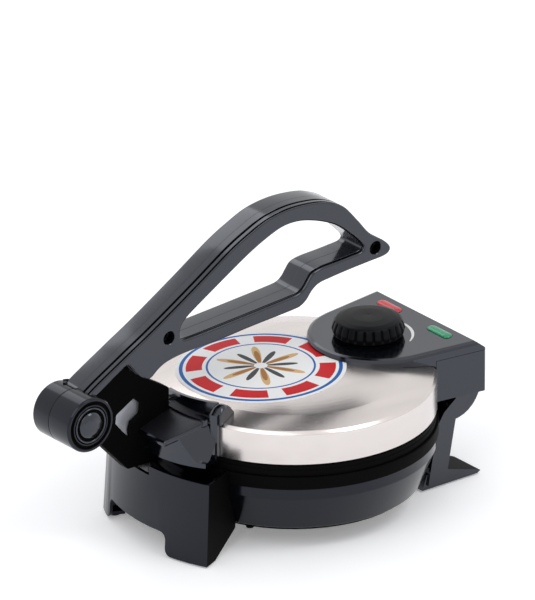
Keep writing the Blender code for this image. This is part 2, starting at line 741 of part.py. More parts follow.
def end_wall(angle):
    """Radial wall at one end of the apron, from the apron to the drum, with its foot."""
    outline = [
        (-APRON_TOP_RADIUS + APRON_WALL / 2, APRON_TOP),
        (-APRON_RADIUS + APRON_WALL / 2, FOOT_LOW),
        (-APRON_RADIUS + SOLE_DEPTH, FOOT_LOW),
        (-DRUM_BOTTOM_RADIUS, BASE_CLEARANCE - SOLE_THICKNESS),
        (-DRUM_BOTTOM_RADIUS, APRON_TOP),
    ]
    low = 0 if angle < 0 else -APRON_WALL
    wall = slab("apron_end", [outline], low, low + APRON_WALL, "XZ")
    wall.rotation_euler = (math.pi / 2, 0, -angle)
    offset = low + APRON_WALL / 2
    wall.location = (offset * math.sin(angle), offset * math.cos(angle), 0)
    return wall


def leg_opening():
    """Arch between the legs, seen from the front: square shoulders and rounded feet."""
    near = [(LEG_NEAR_Y - LEG_FILLET, FOOT_LOW - CUT_OVERRUN)]
    near += arc(LEG_NEAR_Y - LEG_FILLET, FOOT_LOW + LEG_FILLET, LEG_FILLET, -math.pi / 2, 0, 4)
    near += arc(LEG_NEAR_Y + LEG_FILLET, APRON_LOW - LEG_FILLET, LEG_FILLET, math.pi, math.pi / 2, 4)
    far = [(LEG_NEAR_Y + LEG_FAR_Y - y, z) for y, z in near[::-1]]
    return slab("leg_opening", [near + far], -APRON_RADIUS - CUT_OVERRUN, -DRUM_TOP_RADIUS, "YZ")


def sole_angles():
    """Start and end of the near and of the far sole, from the lever side."""
    starts = [
        math.asin(y / APRON_RADIUS) for y in (LEG_NEAR_Y - LEG_FILLET, LEG_FAR_Y + LEG_FILLET)
    ]
    return (
        (APRON_NEAR_ANGLE * SOLE_END_SHARE, starts[0]),
        (starts[1], APRON_FAR_ANGLE * SOLE_END_SHARE),
    )


def make_front_leg_frame():
    """Curved apron in front of the drum: two legs, radial ends, a deck and a lever notch."""
    frame = turned("front_leg_frame", [
        (APRON_TOP_RADIUS, APRON_TOP), (APRON_RADIUS, FOOT_LOW),
        (APRON_RADIUS - APRON_WALL, FOOT_LOW), (APRON_TOP_RADIUS - APRON_WALL, APRON_TOP),
    ], 2 * LARGE_SIDES)
    wedge = sector("apron_wedge", DRUM_BOTTOM_RADIUS, APRON_RADIUS + 2 * CUT_OVERRUN,
                   APRON_NEAR_ANGLE, APRON_FAR_ANGLE, FOOT_LOW - CUT_OVERRUN, APRON_TOP + CUT_OVERRUN)
    combine(frame, wedge, "INTERSECT")
    cut(frame, leg_opening())
    for angle in (APRON_NEAR_ANGLE, APRON_FAR_ANGLE):
        join(frame, end_wall(angle))
    for start, end in sole_angles():
        join(frame, sector("sole", APRON_RADIUS - SOLE_DEPTH, APRON_RADIUS - APRON_WALL / 2,
                           start, end, FOOT_LOW, FOOT_LOW + SOLE_THICKNESS, 4))
    join(frame, sector("deck", DRUM_BOTTOM_RADIUS, apron_radius(DECK_HEIGHT) - APRON_WALL / 2,
                       APRON_NEAR_ANGLE * SOLE_END_SHARE, APRON_FAR_ANGLE * SOLE_END_SHARE,
                       DECK_HEIGHT - DECK_THICKNESS, DECK_HEIGHT))
    notch = box("lever_notch",
                (-APRON_RADIUS - CUT_OVERRUN, ARM_NEAR_Y - 2 * NOTCH_CLEARANCE,
                 ARM_FOOT_LOW - NOTCH_CLEARANCE),
                (-APRON_RADIUS + 3 * CUT_OVERRUN, ARM_FAR_Y + NOTCH_CLEARANCE,
                 APRON_TOP + CUT_OVERRUN))
    cut(frame, notch, drum_clearance("drum_room_front"))
    return finish(frame, "front_leg_frame", ROOT, *BLACK_GLOSS)


def drum_clearance(name):
    """Solid of the drum's outer shape plus the seat gap, for seating pieces on it."""
    outline = [(0, RING_TOP), (FLANGE_RADIUS + SEAT_GAP, RING_TOP)]
    outline += drum_outline(SEAT_GAP)
    outline += [(0, BASE_CLEARANCE - SEAT_GAP)]
    return turned(name, outline, LARGE_SIDES, closed=False)


def make_rear_bracket(name, side):
    """One rear bracket: quarter-round hinge knuckle with boss, leaning post and wedge foot."""
    spans = {}
    for key, inner, width in (
        ("knuckle", KNUCKLE_INNER_Y, KNUCKLE_WIDTH),
        ("post", POST_INNER_Y, POST_THICKNESS),
        ("foot", FOOT_INNER_Y, FOOT_WIDTH),
    ):
        spans[key] = sorted((side * inner, side * (inner + width)))
    post_front = HINGE_X + POST_LEAN / 4 - POST_WIDTH
    knuckle = arc(HINGE_X, HINGE_Z, KNUCKLE_RADIUS, 0, -math.pi / 2, 8)
    knuckle += [(post_front, HINGE_Z - KNUCKLE_RADIUS)]
    knuckle += [
        (HINGE_X + KNUCKLE_RADIUS * a, HINGE_Z + KNUCKLE_RADIUS * b) for a, b in KNUCKLE_FRONT_SHARES
    ]
    knuckle += arc(HINGE_X, HINGE_Z, KNUCKLE_BOSS_RADIUS, KNUCKLE_BOSS_START, -2 * math.pi, 12)
    bracket = slab(name, [knuckle], *spans["knuckle"], "XZ")
    post_top = HINGE_Z - KNUCKLE_RADIUS + JOIN_OVERLAP
    post = [
        (post_front, post_top), (post_front + POST_WIDTH, post_top),
        (post_front + POST_WIDTH - POST_LEAN, FOOT_LOW + FOOT_TIP_HEIGHT),
        (post_front - POST_LEAN, FOOT_LOW + FOOT_TIP_HEIGHT),
    ]
    join(bracket, slab("post", [post], *spans["post"], "XZ"))
    foot_front = FOOT_REACH - FOOT_LENGTH
    foot = [
        (foot_front, FOOT_LOW), (FOOT_REACH - FOOT_TIP_HEIGHT, FOOT_LOW),
        (FOOT_REACH, FOOT_LOW + FOOT_TIP_HEIGHT / 2), (FOOT_REACH - FOOT_TIP_HEIGHT, FOOT_LOW + FOOT_TIP_HEIGHT),
        (post_front + POST_WIDTH - POST_LEAN, FOOT_LOW + FOOT_HEIGHT),
        (post_front - POST_LEAN, FOOT_LOW + FOOT_HEIGHT),
    ]
    join(bracket, slab("foot", [foot], *spans["foot"], "XZ"))
    pin_room = rod("pin_bore", HINGE_PIN_RADIUS + SEAT_GAP, spans["knuckle"][0] - CUT_OVERRUN,
                   spans["knuckle"][1] + CUT_OVERRUN, "Y", (HINGE_X, HINGE_Z))
    cut(bracket, pin_room, drum_clearance("drum_room_rear"))
    return finish(bracket, name, ROOT, *BLACK_GLOSS)


def make_hinge_pin(name, side):
    """Stub pin that joins a hinge arm of the lid to its knuckle."""
    ends = sorted((
        side * (KNUCKLE_INNER_Y - SEAT_GAP - HINGE_ARM_WIDTH),
        side * (KNUCKLE_INNER_Y + KNUCKLE_WIDTH),
    ))
    pin = rod(name, HINGE_PIN_RADIUS, *ends, "Y", (HINGE_X, HINGE_Z))
    return finish(pin, name, ROOT, *ZINC)


def make_pads():
    """Four rubber pads: under the front soles and under the rear feet."""
    front = APRON_RADIUS - SOLE_DEPTH / 2
    near, far = (sum(angles) / 2 for angles in sole_angles())
    rear_x = FOOT_REACH - FOOT_LENGTH / 3
    rear_y = FOOT_INNER_Y + FOOT_WIDTH / 2
    places = (
        ("foot_pad_front_near", -front * math.cos(near), front * math.sin(near), PAD_RADIUS),
        ("foot_pad_front_far", -front * math.cos(far), front * math.sin(far), PAD_RADIUS),
        ("foot_pad_rear_near", rear_x, -rear_y, REAR_PAD_RADIUS),
        ("foot_pad_rear_far", rear_x, rear_y, REAR_PAD_RADIUS),
    )
    for name, x, y, radius in places:
        finish(rod(name, radius, 0, PAD_HEIGHT, "Z", (x, y)), name, ROOT, *RUBBER)


def lid_outline(grow):
    """Outer side of the lid cover from its middle down to its rim, grown by a clearance."""
    crown = [
        (LID_CREASE_RADIUS * share, LID_CREASE_Z + LID_CROWN_RISE * (1 - share ** 2) + grow)
        for share in (0, 0.5, 0.8, 1)
    ]
    edge = arc(LID_RADIUS - LID_EDGE_ROUND, LID_WALL_TOP - LID_EDGE_ROUND, LID_EDGE_ROUND + grow,
               math.radians(78), 0, 3)
    return [*crown, *edge, (LID_RADIUS + grow, LID_LOW)]


def lid_clearance(name, low=LID_LOW):
    """Solid of the lid's outer shape plus the seat gap, carried down to a given height."""
    outline = lid_outline(SEAT_GAP)[:-1] + [(LID_CLEAR_RADIUS, low), (0, low)]
    return turned(name, outline, LARGE_SIDES, closed=False)


def make_lid_cover():
    """Brushed steel cover: one pressed sheet with wall, shoulder, crease and low crown."""
    profile = lid_outline(0) + lid_outline(-LID_SHEET)[::-1]
    cover = turned("lid_cover", profile, LARGE_SIDES, closed=False)
    cut(cover, rod("thermostat_window", THERMOSTAT_RADIUS + 2 * JOIN_OVERLAP, LID_WALL_TOP,
                   PANEL_TOP, "Z", (KNOB_X, 0), MEDIUM_SIDES))
    return finish(cover, "lid_cover", LID_HINGE, *STEEL)


def make_lid_inner_ring():
    """Plastic ring in the lid's rim, with the ledge that holds the upper plate."""
    outer = LID_RADIUS - LID_SHEET - SEAT_GAP
    bore = PLATE_RADIUS + SEAT_GAP
    ledge = UPPER_PLATE_LOW + RING_LEDGE_DEPTH + SEAT_GAP
    top = LID_LOW + INNER_RING_HEIGHT
    ring = turned("lid_inner_ring", [
        (PLATE_RADIUS - PLATE_RIM_WIDTH, top), (outer, top), (outer, LID_LOW), (bore, LID_LOW),
        (bore, ledge), (PLATE_RADIUS - PLATE_RIM_WIDTH, ledge),
    ], LARGE_SIDES)
    return finish(ring, "lid_inner_ring", LID_HINGE, *BLACK_MATT)


def make_upper_heating():
    make_plate("upper_plate", LID_HINGE, UPPER_PLATE_LOW, UPPER_PLATE_TOP, PLATE_TONE)
    heater_z = UPPER_PLATE_TOP + SEAT_GAP + HEATER_TUBE_RADIUS
    make_heater("upper_heater", LID_HINGE, heater_z)
    shield_z = heater_z + HEATER_TUBE_RADIUS + SEAT_GAP + SHIELD_THICKNESS
    make_shield("upper_heat_shield", LID_HINGE, shield_z, -1)
    share = (STUD_CIRCLE_RADIUS + STUD_RADIUS) / LID_CREASE_RADIUS
    ceiling = LID_CREASE_Z + LID_CROWN_RISE * (1 - share ** 2) - LID_SHEET
    make_studs("upper_plate_stud", LID_HINGE, UPPER_PLATE_TOP + SEAT_GAP, ceiling - 2 * SEAT_GAP)


def housing_side(x, inset):
    """Half width of hood and panel at a distance x, between the nose's arc and the rear corner."""
    start_x = PANEL_NOSE_X + PANEL_NOSE_RADIUS * math.cos(PANEL_NOSE_ANGLE)
    start_y = PANEL_NOSE_RADIUS * math.sin(PANEL_NOSE_ANGLE)
    share = (x - start_x) / (HOOD_REAR - HOOD_CORNER - start_x)
    return start_y + share * (HOOD_HALF_WIDTH - start_y) - inset


def housing_rear(inset, rear=HOOD_REAR):
    """Rear corners of hood and panel seen from above, from the near to the far side."""
    back = rear - inset
    side = housing_side(rear - HOOD_CORNER, inset)
    return [
        (back - HOOD_CORNER, -side), (back, -side + HOOD_CORNER),
        (back, side - HOOD_CORNER), (back - HOOD_CORNER, side),
    ]


def hood_outline(inset):
    """Hood seen from above: sides that widen rearwards, a flat rear and two small corners."""
    side = housing_side(HOOD_FRONT, inset)
    return [(HOOD_FRONT, -side), *housing_rear(inset), (HOOD_FRONT, side)]


def make_control_hood():
    """U-shaped hood behind the lid's wall: two sides and a rear wall, raised over the posts."""
    outline = hood_outline(0) + hood_outline(HOOD_WALL)[::-1]
    hood = slab("control_hood", [outline], HOOD_LOW, HOOD_TOP)
    room = rod("lid_room", LID_CLEAR_RADIUS, HOOD_LOW - CUT_OVERRUN, HOOD_TOP + CUT_OVERRUN, "Z",
               (0, 0), LARGE_SIDES)
    slot_side = HOOD_HALF_WIDTH - HOOD_WALL
    slot = box("rear_slot", (HOOD_REAR - HOOD_CORNER - 2 * HOOD_WALL, -slot_side, HOOD_LOW - CUT_OVERRUN),
               (HOOD_REAR + CUT_OVERRUN, slot_side, HOOD_SLOT_TOP))
    gland_hole = rod("gland_hole", GLAND_RADIUS + SEAT_GAP, HOOD_REAR - HOOD_WALL - CUT_OVERRUN,
                     HOOD_REAR + CUT_OVERRUN, "X", (0, GLAND_Z))
    cut(hood, room, slot, gland_hole)
    for side in (-1, 1):
        cut(hood, rod("arm_screw_hole", SCREW_SHANK_RADIUS + SEAT_GAP,
                      HOOD_REAR - HOOD_WALL - CUT_OVERRUN, HOOD_REAR + CUT_OVERRUN, "X",
                      hinge_screw_place(side)))
    return finish(hood, "control_hood", LID_HINGE, *BLACK_GLOSS)


def hinge_screw_place(side):
    y = side * (KNUCKLE_INNER_Y - SEAT_GAP - HINGE_ARM_WIDTH / 2)
    return (y, (HINGE_ARM_LOW + HOOD_TOP) / 2)


def make_hinge_arm(name, side):
    """Arm inside the hood: an eye round the hinge pin and a block screwed to the rear wall."""
    top = HOOD_TOP - SEAT_GAP
    rear = HOOD_REAR - HOOD_WALL - SEAT_GAP
    outline = [(HINGE_X - HINGE_ARM_RADIUS, top), (rear, top), (rear, HINGE_ARM_LOW)]
    outline += arc(HINGE_X, HINGE_Z, HINGE_ARM_RADIUS, math.radians(30), -math.pi, 14)
    ends = sorted((
        side * (KNUCKLE_INNER_Y - SEAT_GAP), side * (KNUCKLE_INNER_Y - SEAT_GAP - HINGE_ARM_WIDTH)
    ))
    arm = slab(name, [outline], *ends, "XZ")
    bore = rod("arm_bore", HINGE_PIN_RADIUS + SEAT_GAP, ends[0] - CUT_OVERRUN, ends[1] + CUT_OVERRUN,
               "Y", (HINGE_X, HINGE_Z))
    thread = rod("arm_thread", SCREW_SHANK_RADIUS + SEAT_GAP, rear - SCREW_GRIP - SEAT_GAP,
                 rear + CUT_OVERRUN, "X", hinge_screw_place(side))
    cut(arm, bore, thread, lid_clearance("arm_lid_room", HINGE_Z - 2 * HINGE_ARM_RADIUS))
    return finish(arm, name, LID_HINGE, *BLACK_MATT)


def make_hood_screw(name, side):
    y, z = hinge_screw_place(side)
    head = HOOD_REAR + SEAT_GAP + SCREW_HEAD_HEIGHT
    tip = HOOD_REAR - HOOD_WALL - SCREW_GRIP
    screw = turned(name, [
        (0, tip), (SCREW_SHANK_RADIUS, tip), (SCREW_SHANK_RADIUS, head - SCREW_HEAD_HEIGHT),
        (SCREW_HEAD_RADIUS, head - SCREW_HEAD_HEIGHT), (SCREW_HEAD_RADIUS, head), (0, head),
    ][::-1], SCREW_SIDES, closed=False)
    screw.rotation_euler = (0, math.pi / 2, 0)
    screw.location = (0, y, z)
    return finish(screw, name, LID_HINGE, *ZINC)


def panel_outline(inset, rear=HOOD_REAR):
    """Panel seen from above: a round nose over the lid, then the hood's own outline."""
    outline = arc(PANEL_NOSE_X, 0, PANEL_NOSE_RADIUS - inset,
                  PANEL_NOSE_ANGLE, 2 * math.pi - PANEL_NOSE_ANGLE, 18)
    return outline + housing_rear(inset, rear)


def lamp_outline(grow, side):
    """Stadium along Y for a lamp lens or its hole."""
    radius = LAMP_WIDTH / 2 + grow
    reach = (LAMP_LENGTH - LAMP_WIDTH) / 2
    centre = side * LAMP_Y
    outline = arc(LAMP_X, centre + reach, radius, 0, math.pi, 5)
    return outline + arc(LAMP_X, centre - reach, radius, math.pi, 2 * math.pi, 5)


def make_control_panel():
    """Hollow cap on the hood, with a bevelled top, a sloping rear and a nose down to the lid."""
    seat = HOOD_TOP + SEAT_GAP
    ceiling = PANEL_TOP - PANEL_WALL
    panel = slab("control_panel", [panel_outline(0)], PANEL_LOW - 3 * PANEL_BEVEL, PANEL_TOP)
    merge_caps(panel)
    bevel = panel.modifiers.new("bevelled top", "BEVEL")
    bevel.width = PANEL_BEVEL
    bevel.segments = 2
    bevel.limit_method = "ANGLE"
    bevel.angle_limit = math.radians(60)
    hollow = slab("panel_hollow", [panel_outline(PANEL_WALL, PANEL_HOLLOW_REAR + PANEL_WALL)],
                  PANEL_LOW - PANEL_BEVEL, ceiling)
    reach = HOOD_HALF_WIDTH + CUT_OVERRUN
    below = PANEL_LOW - 4 * PANEL_BEVEL
    hood_room = box("hood_room", (HOOD_FRONT - SEAT_GAP, -reach, below),
                    (HOOD_REAR + CUT_OVERRUN, reach, seat))
    skirt_trim = box("skirt_trim", (0, -reach, below), (HOOD_REAR + CUT_OVERRUN, reach, PANEL_LOW))
    slope = [
        (PANEL_SLOPE_X, PANEL_TOP), (HOOD_REAR, seat), (HOOD_REAR + CUT_OVERRUN, seat),
        (HOOD_REAR + CUT_OVERRUN, PANEL_TOP + CUT_OVERRUN), (PANEL_SLOPE_X, PANEL_TOP + CUT_OVERRUN),
    ]
    cut(panel, hollow, skirt_trim, hood_room, lid_clearance("panel_lid_room"),
        slab("rear_slope", [slope], -reach, reach, "XZ"))
    cut(panel, rod("shaft_hole", THERMOSTAT_BUSH_RADIUS + SEAT_GAP, ceiling - CUT_OVERRUN,
                   PANEL_TOP + CUT_OVERRUN, "Z", (KNOB_X, 0)))
    for side in (-1, 1):
        cut(panel, slab("lamp_hole", [lamp_outline(SEAT_GAP, side)], ceiling - CUT_OVERRUN,
                        PANEL_TOP + CUT_OVERRUN))
    return finish(panel, "control_panel", LID_HINGE, *BLACK_GLOSS)


def make_lamp(name, side, colour):
    """Coloured stadium lens through the panel, and the holder of its bulb below."""
    low = PANEL_TOP - PANEL_WALL - LAMP_PROUD
    lens = slab(f"{name}_lens", [lamp_outline(0, side)], low, PANEL_TOP + LAMP_PROUD,
                edge_round=LAMP_PROUD * 0.7)
    finish(lens, f"{name}_lens", LID_HINGE, colour, 0.2)
    top = low - SEAT_GAP
    reach = LAMP_LENGTH / 3
    holder = box(f"{name}_holder",
                 (LAMP_X - LAMP_WIDTH / 2, side * LAMP_Y - reach, top - LAMP_HOLDER_HEIGHT),
                 (LAMP_X + LAMP_WIDTH / 2, side * LAMP_Y + reach, top))
    finish(holder, f"{name}_holder", LID_HINGE, (0.75, 0.74, 0.70), 0.5)


def make_gland():
    """Bush in the hood's rear wall where a cord would pass."""
    inner = HOOD_REAR - HOOD_WALL - SEAT_GAP
    outer = HOOD_REAR + SEAT_GAP
    bush = turned("cord_gland", [
        (GLAND_BORE_RADIUS, outer + GLAND_FLANGE), (GLAND_RADIUS + GLAND_FLANGE, outer + GLAND_FLANGE),
        (GLAND_RADIUS + GLAND_FLANGE, outer), (GLAND_RADIUS, outer),
        (GLAND_RADIUS, inner - GLAND_FLANGE), (GLAND_BORE_RADIUS, inner - GLAND_FLANGE),
    ], SMALL_SIDES)
    bush.rotation_euler = (0, math.pi / 2, 0)
    bush.location = (0, 0, GLAND_Z)
    return finish(bush, "cord_gland", LID_HINGE, *RUBBER)


def make_thermostat():
    """Round thermostat on the upper plate, with a threaded bush up to the panel."""
    low = UPPER_PLATE_TOP + SEAT_GAP
    top = LID_WALL_TOP
    bush_top = PANEL_TOP
    bore = SHAFT_RADIUS + SEAT_GAP
    body = turned("thermostat", [
        (bore, bush_top), (THERMOSTAT_BUSH_RADIUS, bush_top), (THERMOSTAT_BUSH_RADIUS, top),
        (THERMOSTAT_RADIUS, top), (THERMOSTAT_RADIUS, low), (0, low),
        (0, top - THERMOSTAT_BUSH_RADIUS), (bore, top - THERMOSTAT_BUSH_RADIUS),
    ], MEDIUM_SIDES, closed=True, centre_x=KNOB_X)
    return finish(body, "thermostat", LID_HINGE, (0.60, 0.57, 0.50), 0.45, 0.5)


def make_knob():
    """Domed knob with a fluted skirt on a collar, and the thermostat shaft in its bore."""
    foot = PANEL_TOP + 2 * SEAT_GAP
    bore_top = foot + KNOB_BORE_DEPTH
    bore = SHAFT_RADIUS + SEAT_GAP
    profile = [(KNOB_RADIUS * r, foot + KNOB_HEIGHT * h) for r, h in KNOB_SHARES]
    profile += [
        (KNOB_COLLAR_RADIUS, foot + KNOB_HEIGHT * KNOB_SHARES[-1][1]),
        (KNOB_COLLAR_RADIUS, foot), (bore, foot), (bore, bore_top), (0, bore_top),
    ]
    knob = turned("thermostat_knob", profile, 2 * KNOB_FLUTES, closed=False, centre_x=KNOB_X)
    for i in range(KNOB_FLUTES):
        angle = 2 * math.pi * i / KNOB_FLUTES
        pitch = KNOB_RADIUS * KNOB_FLUTE_PITCH_SHARE
        flute = rod("flute", KNOB_FLUTE_RADIUS, foot + KNOB_HEIGHT * KNOB_FLUTE_LOW_SHARE,
                    foot + KNOB_HEIGHT * KNOB_FLUTE_TOP_SHARE, "Z",
                    (KNOB_X + pitch * math.cos(angle), pitch * math.sin(angle)), 4)
        cut(knob, flute)
    finish(knob, "thermostat_knob", KNOB_AXIS, *BLACK_MATT)
    shaft_low = LID_WALL_TOP - THERMOSTAT_BUSH_RADIUS + SEAT_GAP
    shaft = rod("thermostat_shaft", SHAFT_RADIUS, shaft_low, bore_top - SEAT_GAP, "Z", (KNOB_X, 0))
    finish(shaft, "thermostat_shaft", KNOB_AXIS, *ZINC)


def tongue_top(x):
    """Height of the tongue's upper face at a distance x from the lid's axis."""
    root = LID_CLEAR_RADIUS - BRACKET_DEPTH
    return TONGUE_ROOT_Z - TONGUE_FALL * (x - root) / (TONGUE_REACH - root)


def bracket_body():
    """Block in front of the lid's wall: splayed sides, a bulging front and a sloping top."""
    spread = math.asin(BRACKET_CORNER_HALF_WIDTH / BRACKET_BULGE_RADIUS)
    outline = arc(-BRACKET_BULGE_X, 0, BRACKET_BULGE_RADIUS, math.pi - spread, math.pi + spread, 10)
    outline += [
        (-BRACKET_INNER_X, -BRACKET_INNER_HALF_WIDTH), (-BRACKET_INNER_X, BRACKET_INNER_HALF_WIDTH),
    ]
    body = slab("front_bracket", [outline], BRACKET_LOW, RAIL_FAR_TOP)
    near, far = BRACKET_INNER_X - CUT_OVERRUN, BRACKET_BULGE_X + BRACKET_BULGE_RADIUS + CUT_OVERRUN
    above = [
        (-near, tongue_top(near) - BRACKET_SHOULDER_DROP), (-far, tongue_top(far) - BRACKET_SHOULDER_DROP),
        (-far, RAIL_FAR_TOP + CUT_OVERRUN), (-near, RAIL_FAR_TOP + CUT_OVERRUN),
    ]
    reach = BRACKET_CORNER_HALF_WIDTH + CUT_OVERRUN
    return cut(body, slab("shoulder_slope", [above], -reach, reach, "XZ"))


def bracket_rail(root):
    """Upright rail along the tongue's root, level at its near end and falling to the far end."""
    rail = sector("rail", root, root + RAIL_WIDTH, -BRACKET_HALF_ANGLE, RAIL_FAR_ANGLE,
                  tongue_top(root) - TONGUE_THICKNESS, RAIL_NEAR_TOP)
    start, end = root * math.sin(RAIL_LEVEL_ANGLE), root * math.sin(RAIL_FAR_ANGLE) + CUT_OVERRUN
    fall = [
        (start, RAIL_NEAR_TOP), (end, RAIL_FAR_TOP), (end, RAIL_NEAR_TOP + CUT_OVERRUN),
        (start, RAIL_NEAR_TOP + CUT_OVERRUN),
    ]
    return cut(rail, slab("rail_fall", [fall], -root - 2 * CUT_OVERRUN, -root + 2 * CUT_OVERRUN, "YZ"))


def make_front_bracket():
    """Bracket on the lid's front: block, sloping tongue, rail and a near nub over the lid's edge."""
    root = LID_CLEAR_RADIUS - BRACKET_DEPTH
    bracket = bracket_body()
    tongue = [
        (-root - RAIL_WIDTH / 2, tongue_top(root + RAIL_WIDTH / 2)),
        (-TONGUE_REACH, tongue_top(TONGUE_REACH)),
        (-TONGUE_REACH, tongue_top(TONGUE_REACH) - TONGUE_THICKNESS),
        (-root - RAIL_WIDTH / 2, tongue_top(root) - TONGUE_THICKNESS),
    ]
    join(bracket, slab("tongue", [tongue], TONGUE_NEAR_Y, TONGUE_FAR_Y, "XZ", edge_round=SEAT_GAP * 4))
    join(bracket, bracket_rail(root))
    join(bracket, sector("nub", NUB_INNER_RADIUS, NUB_OUTER_RADIUS, -BRACKET_HALF_ANGLE,
                         NUB_ANGLE - BRACKET_HALF_ANGLE, BRACKET_LOW + CUT_OVERRUN, NUB_TOP, 3))
    for x, y in arm_screw_places():
        join(bracket, rod("screw_boss", SCREW_HEAD_RADIUS * 1.4, ARM_FOOT_TOP + SEAT_GAP,
                          tongue_top(-x) - TONGUE_THICKNESS / 2, "Z", (x, y)))
    slot_end = math.sqrt(BRACKET_RADIUS ** 2 - ARM_FAR_Y ** 2) - SEAT_GAP
    arm_room = box("arm_room", (ARM_BEND_X, ARM_NEAR_Y - SEAT_GAP, BRACKET_LOW - CUT_OVERRUN),
                   (-slot_end, ARM_FAR_Y + SEAT_GAP, ARM_FOOT_TOP + SEAT_GAP))
    cut(bracket, lid_clearance("bracket_lid_room", BRACKET_LOW - CUT_OVERRUN), arm_room)
    for x, y in arm_screw_places():
        cut(bracket, rod("boss_thread", SCREW_SHANK_RADIUS + SEAT_GAP, ARM_FOOT_TOP - CUT_OVERRUN,
                         ARM_FOOT_TOP + SCREW_GRIP, "Z", (x, y), SCREW_SIDES))
    return finish(bracket, "front_bracket", LID_HINGE, *BLACK_GLOSS)


def arm_screw_places():
    first = BRACKET_RADIUS + SCREW_HEAD_RADIUS * 2
    return [(-first, ARM_MID_Y), (-first - ARM_SCREW_PITCH, ARM_MID_Y)]


def make_lever_arm():
    """Arm from the bracket up to the pivot: foot, leaning bar and the far barrel."""
    slope = math.atan2(PIVOT_Z - ARM_FOOT_LOW, PIVOT_X - ARM_BEND_X)
    normal = (math.sin(slope), -math.cos(slope))
    upper = (PIVOT_X + normal[0] * ARM_DEPTH, PIVOT_Z + normal[1] * ARM_DEPTH)
    upper_run = (upper[1] - ARM_FOOT_TOP) / math.tan(math.pi - slope)
    outline = [
        (PIVOT_X, PIVOT_Z), (ARM_BEND_X, ARM_FOOT_LOW), (-LID_RADIUS, ARM_FOOT_LOW),
        (-LID_RADIUS, ARM_FOOT_TOP), (upper[0] + upper_run, ARM_FOOT_TOP), upper,
    ]
    arm = slab("lever_arm", [outline], ARM_NEAR_Y, ARM_FAR_Y, "XZ")
    join(arm, rod("far_barrel", BARREL_RADIUS, ARM_NEAR_Y, BARREL_HALF_LENGTH, "Y",
                  (PIVOT_X, PIVOT_Z), MEDIUM_SIDES))
    cut(arm, rod("arm_seat", BRACKET_RADIUS + SEAT_GAP, ARM_FOOT_LOW - CUT_OVERRUN,
                 ARM_FOOT_TOP + CUT_OVERRUN, "Z", (0, 0), LARGE_SIDES))
    cut_barrel_end(arm, BARREL_HALF_LENGTH, 1)
    cut(arm, rod("pin_seat", PIVOT_PIN_RADIUS + SEAT_GAP, ARM_NEAR_Y - CUT_OVERRUN,
                 BARREL_HALF_LENGTH, "Y", (PIVOT_X, PIVOT_Z)))
    for x, y in arm_screw_places():
        cut(arm, rod("arm_hole", SCREW_SHANK_RADIUS + SEAT_GAP, ARM_FOOT_LOW, ARM_FOOT_TOP + CUT_OVERRUN,
                     "Z", (x, y), SCREW_SIDES))
        cut(arm, rod("arm_counterbore", SCREW_HEAD_RADIUS + SEAT_GAP, ARM_FOOT_LOW - CUT_OVERRUN,
                     arm_counterbore_top(), "Z", (x, y)))
    return finish(arm, "lever_arm", LID_HINGE, *BLACK_GLOSS)


def arm_counterbore_top():
    return ARM_FOOT_TOP - SCREW_GRIP


def make_arm_screws():
    for name, (x, y) in zip(("arm_screw_inner", "arm_screw_outer"), arm_screw_places()):
        make_screw(name, LID_HINGE, x, y, arm_counterbore_top() - SEAT_GAP - SCREW_HEAD_HEIGHT,
                   ARM_FOOT_TOP + SCREW_GRIP - SEAT_GAP)


def cut_barrel_end(obj, end, side):
    """Round recess in a barrel's end face that takes the cap."""
    low, high = sorted((end + side * CUT_OVERRUN, end - side * CAP_THICKNESS))
    return cut(obj, rod("cap_recess", CAP_RADIUS + SEAT_GAP, low, high, "Y", (PIVOT_X, PIVOT_Z),
                        MEDIUM_SIDES))


def handle_loop(shares):
    return [(PIVOT_X + HANDLE_REACH * a, PIVOT_Z + HANDLE_RISE * b) for a, b in shares]


def make_handle_half(name, side):
    """Half of the handle moulding: grip frame with a finger opening, split at mid-plane."""
    outer = smooth_loop(handle_loop(HANDLE_UPPER_SHARES + HANDLE_LOWER_SHARES), 2)
    opening = smooth_loop(handle_loop(HANDLE_OPENING_SHARES), 2)
    half = slab(name, [outer, opening], -HANDLE_WIDTH / 2, HANDLE_WIDTH / 2, "XZ",
                edge_round=HANDLE_EDGE_ROUND)
    barrel = (PIVOT_X, PIVOT_Z)
    split = sorted((side * SEAT_GAP / 2, -side * HANDLE_WIDTH))
    cut(half, box("other_half",
                  (PIVOT_X - CUT_OVERRUN, split[0], PIVOT_Z - HANDLE_RISE),
                  (PIVOT_X + HANDLE_REACH + CUT_OVERRUN, split[1], PIVOT_Z + 2 * HANDLE_RISE)))
    if side < 0:
        join(half, rod("near_barrel", BARREL_RADIUS, -BARREL_HALF_LENGTH, BARREL_SEAM_Y, "Y",
                       barrel, MEDIUM_SIDES))
        cut_barrel_end(half, -BARREL_HALF_LENGTH, -1)
        cut(half, rod("pin_room", PIVOT_PIN_RADIUS + SEAT_GAP, -BARREL_HALF_LENGTH,
                      BARREL_SEAM_Y + CUT_OVERRUN, "Y", barrel))
    else:
        cut(half, rod("barrel_room", BARREL_RADIUS + SEAT_GAP, -CUT_OVERRUN, HANDLE_WIDTH, "Y",
                      barrel, MEDIUM_SIDES))
    for x, z in handle_loop(HANDLE_SCREW_SHARES):
        if side < 0:
            cut(half, rod("screw_recess", HANDLE_RECESS_RADIUS, -HANDLE_WIDTH,
                          -HANDLE_WIDTH / 2 + HANDLE_RECESS_DEPTH, "Y", (x, z)))
        cut(half, rod("screw_hole", SCREW_SHANK_RADIUS + SEAT_GAP, -HANDLE_WIDTH,
                      HANDLE_WIDTH / 2 - SCREW_GRIP, "Y", (x, z), SCREW_SIDES))
    return finish(half, name, HANDLE_PIVOT, *BLACK_GLOSS)


